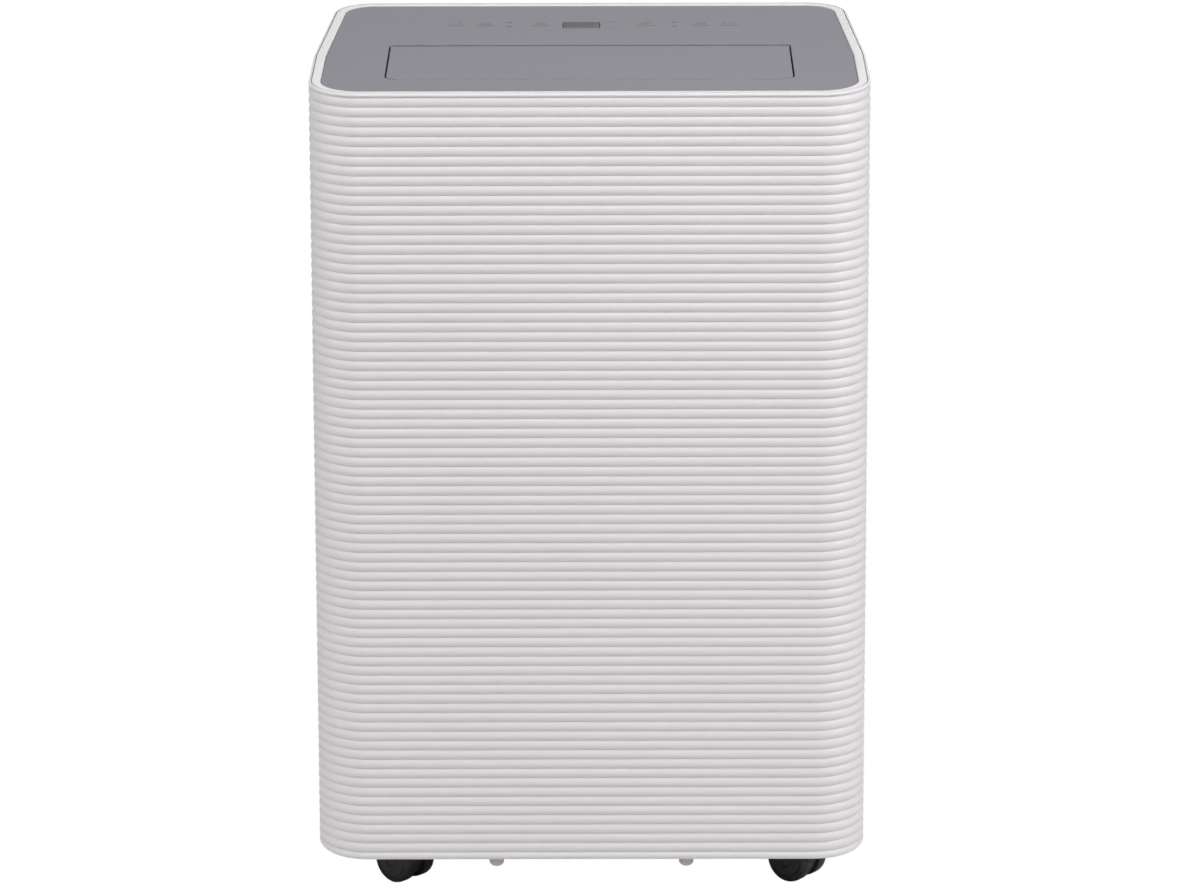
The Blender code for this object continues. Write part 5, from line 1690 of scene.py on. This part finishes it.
lagging, place = finish("pipe_lagging", Base_Color=(0.020, 0.020, 0.021), Roughness=0.9)
pore_pits_and_shade = place.node("ShaderNodeTexVoronoi", {}, {"Vector": place, "Scale": 900.0})
# The colour is darker in the pores: painted shade in the pits, which the same pattern also sinks in the bump.
feed(lagging, "Base Color", pore_pits_and_shade.blend((0.012, 0.012, 0.013), (0.034, 0.034, 0.035)))
feed(lagging, "Roughness", 0.82 + pore_pits_and_shade * 0.12)
bumped(lagging, pore_pits_and_shade, 0.0001)
box_low, box_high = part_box("suction_pipe")
rear_y = coil_y + 0.012
over_z = shell_top + 0.060
side_x = -0.190
route = [
    (middle.x, middle.y, high.z - END_LAP),
    (middle.x, middle.y, over_z),
    (middle.x, rear_y, over_z),
    (side_x, rear_y, over_z + 0.010),
    (side_x, rear_y, upper_low.z + 0.030),
    (upper_low.x + 0.001, rear_y, upper_low.z + 0.030),
]
tube = bent(route, SUCTION_RADIUS - PIPE_SHRINK, PIPE_BEND)
new_piece("suction_line", tube, lagging, "cabinet", "copper_tube", "suction_pipe")


# Control box: a folded galvanised case with a screwed lid, which has louvres and a generic hazard
# triangle. Inside are the main board with its parts and the run capacitor.
LID_LOUVRES = 8

case_low, case_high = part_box("control_box")
lid_low, lid_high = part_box("control_box_cover")
sheet = 0.0012
walls = [
    block((case_low.x, case_high.y - sheet, case_low.z), case_high, 0.0003),
    block(case_low, (case_high.x, case_high.y, case_low.z + sheet), 0.0003),
    block((case_low.x, case_low.y, case_high.z - sheet), case_high, 0.0003),
    block(case_low, (case_low.x + sheet, case_high.y, case_high.z), 0.0003),
    block((case_high.x - sheet, case_low.y, case_low.z), case_high, 0.0003),
]
for z in (case_low.z + sheet, case_high.z - sheet - 0.007):
    flange_end = (case_high.x - 0.001, case_low.y + sheet, z + 0.007)
    walls.append(block((case_low.x + 0.001, case_low.y, z), flange_end, 0.0003))
new_piece("control_box_case", joined(*walls), galvanised, "cabinet", "steel", "control_box")

lid_outline = rounded_box(lid_low.x, lid_low.z, lid_high.x, lid_high.z, (0.003, 0.003), 4)
slots = []
for number in range(LID_LOUVRES):
    z = lid_low.z + 0.030 + number * 0.008
    slots.append(rounded_box(lid_high.x - 0.062, z, lid_high.x - 0.022, z + 0.0030, (0.0014, 0.0014), 3))
lid_mesh = filled([lid_outline, *slots], 0.0, lid_high.y - lid_low.y - 0.0004, 0.0003)
lid_mesh = upright(lid_mesh, lid_low.y + 0.0004)
new_piece("control_box_lid", lid_mesh, galvanised, "cabinet", "steel", "control_box_cover")
screws = []
for x in (lid_low.x + 0.006, lid_high.x - 0.006):
    for z in (lid_low.z + 0.006, lid_high.z - 0.006):
        placed = screw_head(0.0030, 0.0013)
        placed.transform(Matrix.Translation((x, lid_low.y + 0.0006, z)) @ Matrix.Rotation(pi / 2, 4, "X"))
        screws.append(placed)
new_piece("control_box_screws", joined(*screws), zinc, "cabinet", "steel")
label_x = lid_low.x + 0.038
label_z = lid_low.z + 0.075
outer = [(label_x - 0.017, label_z - 0.012), (label_x + 0.017, label_z - 0.012), (label_x, label_z + 0.018)]
bolt_mark = [
    (label_x + 0.0020, label_z + 0.0095),
    (label_x - 0.0050, label_z - 0.0010),
    (label_x - 0.0008, label_z - 0.0010),
    (label_x - 0.0030, label_z - 0.0090),
    (label_x + 0.0050, label_z + 0.0018),
    (label_x + 0.0008, label_z + 0.0018),
]
label_mesh = upright(filled([outer, bolt_mark], 0.0, 0.0001), lid_low.y + 0.0003)
label_yellow, place = finish("label_yellow", Base_Color=(0.75, 0.50, 0.03), Roughness=0.5)
print_noise = grain(place, 1800.0)
feed(label_yellow, "Base Color", print_noise.blend((0.70, 0.46, 0.03), (0.80, 0.54, 0.04)))
feed(label_yellow, "Roughness", 0.44 + print_noise * 0.12)
new_piece("hazard_label", label_mesh, label_yellow, "cabinet", "steel")


def board_finish(name):
    """Green solder mask over faint copper tracks, drawn as a grid of bands."""
    made, place = finish(name, Base_Color=(0.012, 0.085, 0.032), Roughness=0.4)
    cells = place.node("ShaderNodeTexBrick", {}, {"Vector": place, "Scale": 120.0, "Mortar Size": 0.06}, 1)
    fleck = grain(place, 300.0, 2.0)
    feed(made, "Base Color", cells.blend((0.010, 0.075, 0.028), (0.022, 0.125, 0.045)))
    feed(made, "Roughness", 0.32 + fleck * 0.16)
    bumped(made, cells, 0.00003)
    return made


def board_pieces(node, low, high, parts):
    """A board and what is soldered to it, one piece for each material. A part is (material, mesh)."""
    new_piece(node + "_mask", block(low, high, 0.0002), board_green, "cabinet", "circuit_board", node)
    groups = {}
    for surface, mesh in parts:
        groups.setdefault(surface.name, (surface, []))[1].append(mesh)
    for label, (surface, meshes) in groups.items():
        new_piece(node + "_" + label, joined(*meshes), surface, "cabinet", "circuit_board")


board_green = board_finish("solder_mask")
part_black = moulded_plastic("component_black", (0.016, 0.016, 0.017), 0.4, 0.00002, 0.10)
part_white = moulded_plastic("connector_white", (0.62, 0.61, 0.56), 0.45, 0.00002, 0.04)
low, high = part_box("main_board")
face = low.y
# Relays along the bottom and connectors along the top.
parts = []
for number in range(3):
    x = low.x + 0.014 + number * 0.022
    relay = block((x, face - 0.0155, low.z + 0.010), (x + 0.016, face, low.z + 0.030), 0.0006)
    parts.append((part_black, relay))
for number in range(6):
    x = low.x + 0.007 + number * 0.0165
    connector = block((x, face - 0.0080, high.z - 0.013), (x + 0.012, face, high.z - 0.005), 0.0005)
    parts.append((part_white, connector))
can = (
    (0.0, 0.0),
    (0.0080, 0.0),
    (0.0080, 0.0016),
    (0.0076, 0.0022),
    (0.0080, 0.0028),
    (0.0080, 0.0235),
    (0.0074, 0.0245),
    (0.0, 0.0245),
)
for number in range(2):
    x = low.x + 0.018 + number * 0.020
    parts.append((part_black, turned(can, (x, face, low.z + 0.050), (0, -1, 0), 28)))
# The main chip, the transformer and the plate of the heat sink, then its fins.
corner = Vector((low.x, face, low.z))
for surface, start, end, edge in (
    (part_black, (0.058, -0.0022, 0.050), (0.074, 0.0, 0.066), 0.0003),
    (part_black, (0.014, -0.0210, 0.066), (0.042, 0.0, 0.094), 0.0008),
    (galvanised, (0.078, -0.0180, 0.040), (0.081, 0.0, 0.090), 0.0003),
):
    parts.append((surface, block(corner + Vector(start), corner + Vector(end), edge)))
for number in range(7):
    start = corner + Vector((0.081, -0.0175, 0.042 + number * 0.0075))
    parts.append((galvanised, block(start, start + Vector((0.013, 0.0165, 0.0012)), 0.0002)))
bead = (
    (0.0, 0.0),
    (0.0009, 0.0003),
    (0.0011, 0.0012),
    (0.0009, 0.0022),
    (0.0009, 0.0042),
    (0.0011, 0.0052),
    (0.0009, 0.0061),
    (0.0, 0.0064),
)
for number in range(10):
    x = low.x + 0.048 + (number % 2) * 0.010
    z = low.z + 0.072 + (number // 2) * 0.0055
    parts.append((part_white, turned(bead, (x, face - 0.0013, z), (1, 0, 0), 12)))
board_pieces("main_board", low, high, parts)

# The display board carries a connector, a chip and a row of touch pads on its underside.
low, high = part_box("display_board")
corner = Vector((low.x, low.y, low.z))
connector = block(corner + Vector((0.020, 0.006, -0.0060)), corner + Vector((0.044, 0.014, 0.0)), 0.0005)
chip = block(corner + Vector((0.060, 0.012, -0.0018)), corner + Vector((0.072, 0.024, 0.0)), 0.0003)
parts = [(part_white, connector), (part_black, chip)]
for number in range(12):
    start = corner + Vector((0.090 + number * 0.012, 0.010, -0.0008))
    parts.append((part_white, block(start, start + Vector((0.0030, 0.0016, 0.0008)), 0.0001)))
board_pieces("display_board", low, high, parts)

can_metal, place = finish("capacitor_can", Base_Color=(0.48, 0.48, 0.49), Metallic=1.0, Roughness=0.35)
drawn = place.node("ShaderNodeMapping", {}, {"Vector": place, "Scale": (1.0, 1.0, 0.03)})
streaks = grain(drawn, 1400.0, 2.0)
feed(can_metal, "Roughness", 0.26 + streaks * 0.20)
bumped(can_metal, streaks, 0.00001)
low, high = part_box("run_capacitor")
middle = (low + high) / 2
radius = (high.x - low.x) / 2
tall = high.z - low.z
can = (
    (0.0, 0.0),
    (radius - 0.0012, 0.0),
    (radius, 0.0012),
    (radius, tall - 0.0160),
    (radius - 0.0010, tall - 0.0150),
    (radius - 0.0010, tall - 0.0136),
    (radius, tall - 0.0126),
    (radius, tall - 0.0085),
    (radius - 0.0006, tall - 0.0078),
    (radius - 0.0022, tall - 0.0084),
    (0.0, tall - 0.0084),
)
can_mesh = turned(can, (middle.x, middle.y, low.z), (0, 0, 1), 48)
new_piece("capacitor_can", can_mesh, can_metal, "cabinet", "capacitor_can", "run_capacitor")
tabs = []
for x in (-0.0085, -0.0035, 0.0035, 0.0085):
    start = (middle.x + x - 0.0004, middle.y - 0.0030, high.z - 0.0086)
    tabs.append(block(start, (middle.x + x + 0.0004, middle.y + 0.0030, high.z), 0.0001))
new_piece("capacitor_tabs", joined(*tabs), zinc, "cabinet", "steel")


# Air vanes and link: five black vanes with rounded edges on moulded pins, which the link bar swings
# together by a fork on each, and the small can motor that turns the flap.
VANE_SHEET = 0.0016
vane_plastic = moulded_plastic("vane_plastic", (0.030, 0.030, 0.033), 0.5, 0.00004, 0.08)
for number in range(1, 6):
    name = f"vane_{number}"
    low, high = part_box(name)
    middle = (low + high) / 2
    reach = 0.0029
    leaf_low = (middle.x - VANE_SHEET / 2, low.y + reach, low.z)
    leaf = block(leaf_low, (middle.x + VANE_SHEET / 2, high.y - reach, high.z), 0.0006)
    pin = ((0.0, 0.0), (0.0014, 0.0), (0.0018, 0.0004), (0.0018, 0.0058), (0.0, 0.0062))
    shapes = [leaf, turned(pin, (middle.x, low.y, middle.z), (0, 1, 0), 20)]
    shapes.append(turned(pin, (middle.x, high.y, middle.z), (0, -1, 0), 20))
    boss = ((0.0, 0.0), (0.0026, 0.0), (0.0026, 0.0012), (0.0, 0.0012))
    shapes.append(turned(boss, (middle.x, low.y + reach, middle.z), (0, 1, 0), 20))
    new_piece(name + "_leaf", joined(*shapes), vane_plastic, name, "duct_plastic", name)
low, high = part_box("vane_link")
bar_top = low.z + 0.003
shapes = [block(low, (high.x, high.y, bar_top), 0.0005)]
for number in range(1, 6):
    vane_low, vane_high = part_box(f"vane_{number}")
    x = (vane_low.x + vane_high.x) / 2
    for side in (-1, 1):
        ends = sorted((x + side * 0.0020, x + side * 0.0035))
        shapes.append(block((ends[0], low.y, bar_top - 0.001), (ends[1], high.y, high.z), 0.0004))
new_piece("vane_link_bar", joined(*shapes), vane_plastic, "vane_link", "duct_plastic", "vane_link")
low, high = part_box("flap_motor")
middle = (low + high) / 2
radius = (high.z - low.z) / 2
length = high.x - low.x
can = (
    (0.0, 0.0),
    (radius - 0.0006, 0.0),
    (radius, 0.0006),
    (radius, length * 0.46),
    (radius - 0.0005, length * 0.48),
    (radius - 0.0005, length * 0.52),
    (radius, length * 0.54),
    (radius, length - 0.0006),
    (radius - 0.0006, length),
    (0.0, length),
)
can_mesh = turned(can, (low.x, middle.y, middle.z), (1, 0, 0), 40)
new_piece("flap_motor_can", can_mesh, galvanised, "cabinet", "steel", "flap_motor")


# Ducts, scrolls, deck and base pan: the moulded frame pieces keep the shapes of the CAD model, with
# their own materials. The ducts are black plastic, the scrolls and deck are expanded foam, and the
# base pan is white plastic with ribs under its floor.
duct_plastic = moulded_plastic("duct_plastic", (0.045, 0.045, 0.049), 0.52, 0.00004, 0.08)
foam, place = finish("expanded_foam", Base_Color=(0.66, 0.66, 0.63), Roughness=0.9)
beads = place.node("ShaderNodeTexVoronoi", {"feature": "DISTANCE_TO_EDGE"}, {"Vector": place, "Scale": 330.0})
bead_creases_and_shade = beads.math("MINIMUM", beads * 4.0, 1.0)
# The colour is darker along the bead edges: painted shade in the creases between the beads, which the same
# mask also sinks in the bump.
feed(foam, "Base Color", bead_creases_and_shade.blend((0.50, 0.50, 0.48), (0.70, 0.70, 0.67)))
feed(foam, "Roughness", 0.92 - bead_creases_and_shade * 0.10)
bumped(foam, bead_creases_and_shade, 0.00025)
pan_plastic = moulded_plastic("pan_plastic", (0.62, 0.61, 0.61), 0.5, 0.00005, 0.03)
for surface, names in (
    (duct_plastic, ("outlet_duct", "exhaust_duct")),
    (foam, ("upper_scroll", "lower_scroll", "mid_deck")),
    (pan_plastic, ("base_pan",)),
):
    for name in names:
        mesh = frame["nodes"][name].data
        mesh.materials.clear()
        mesh.materials.append(surface)
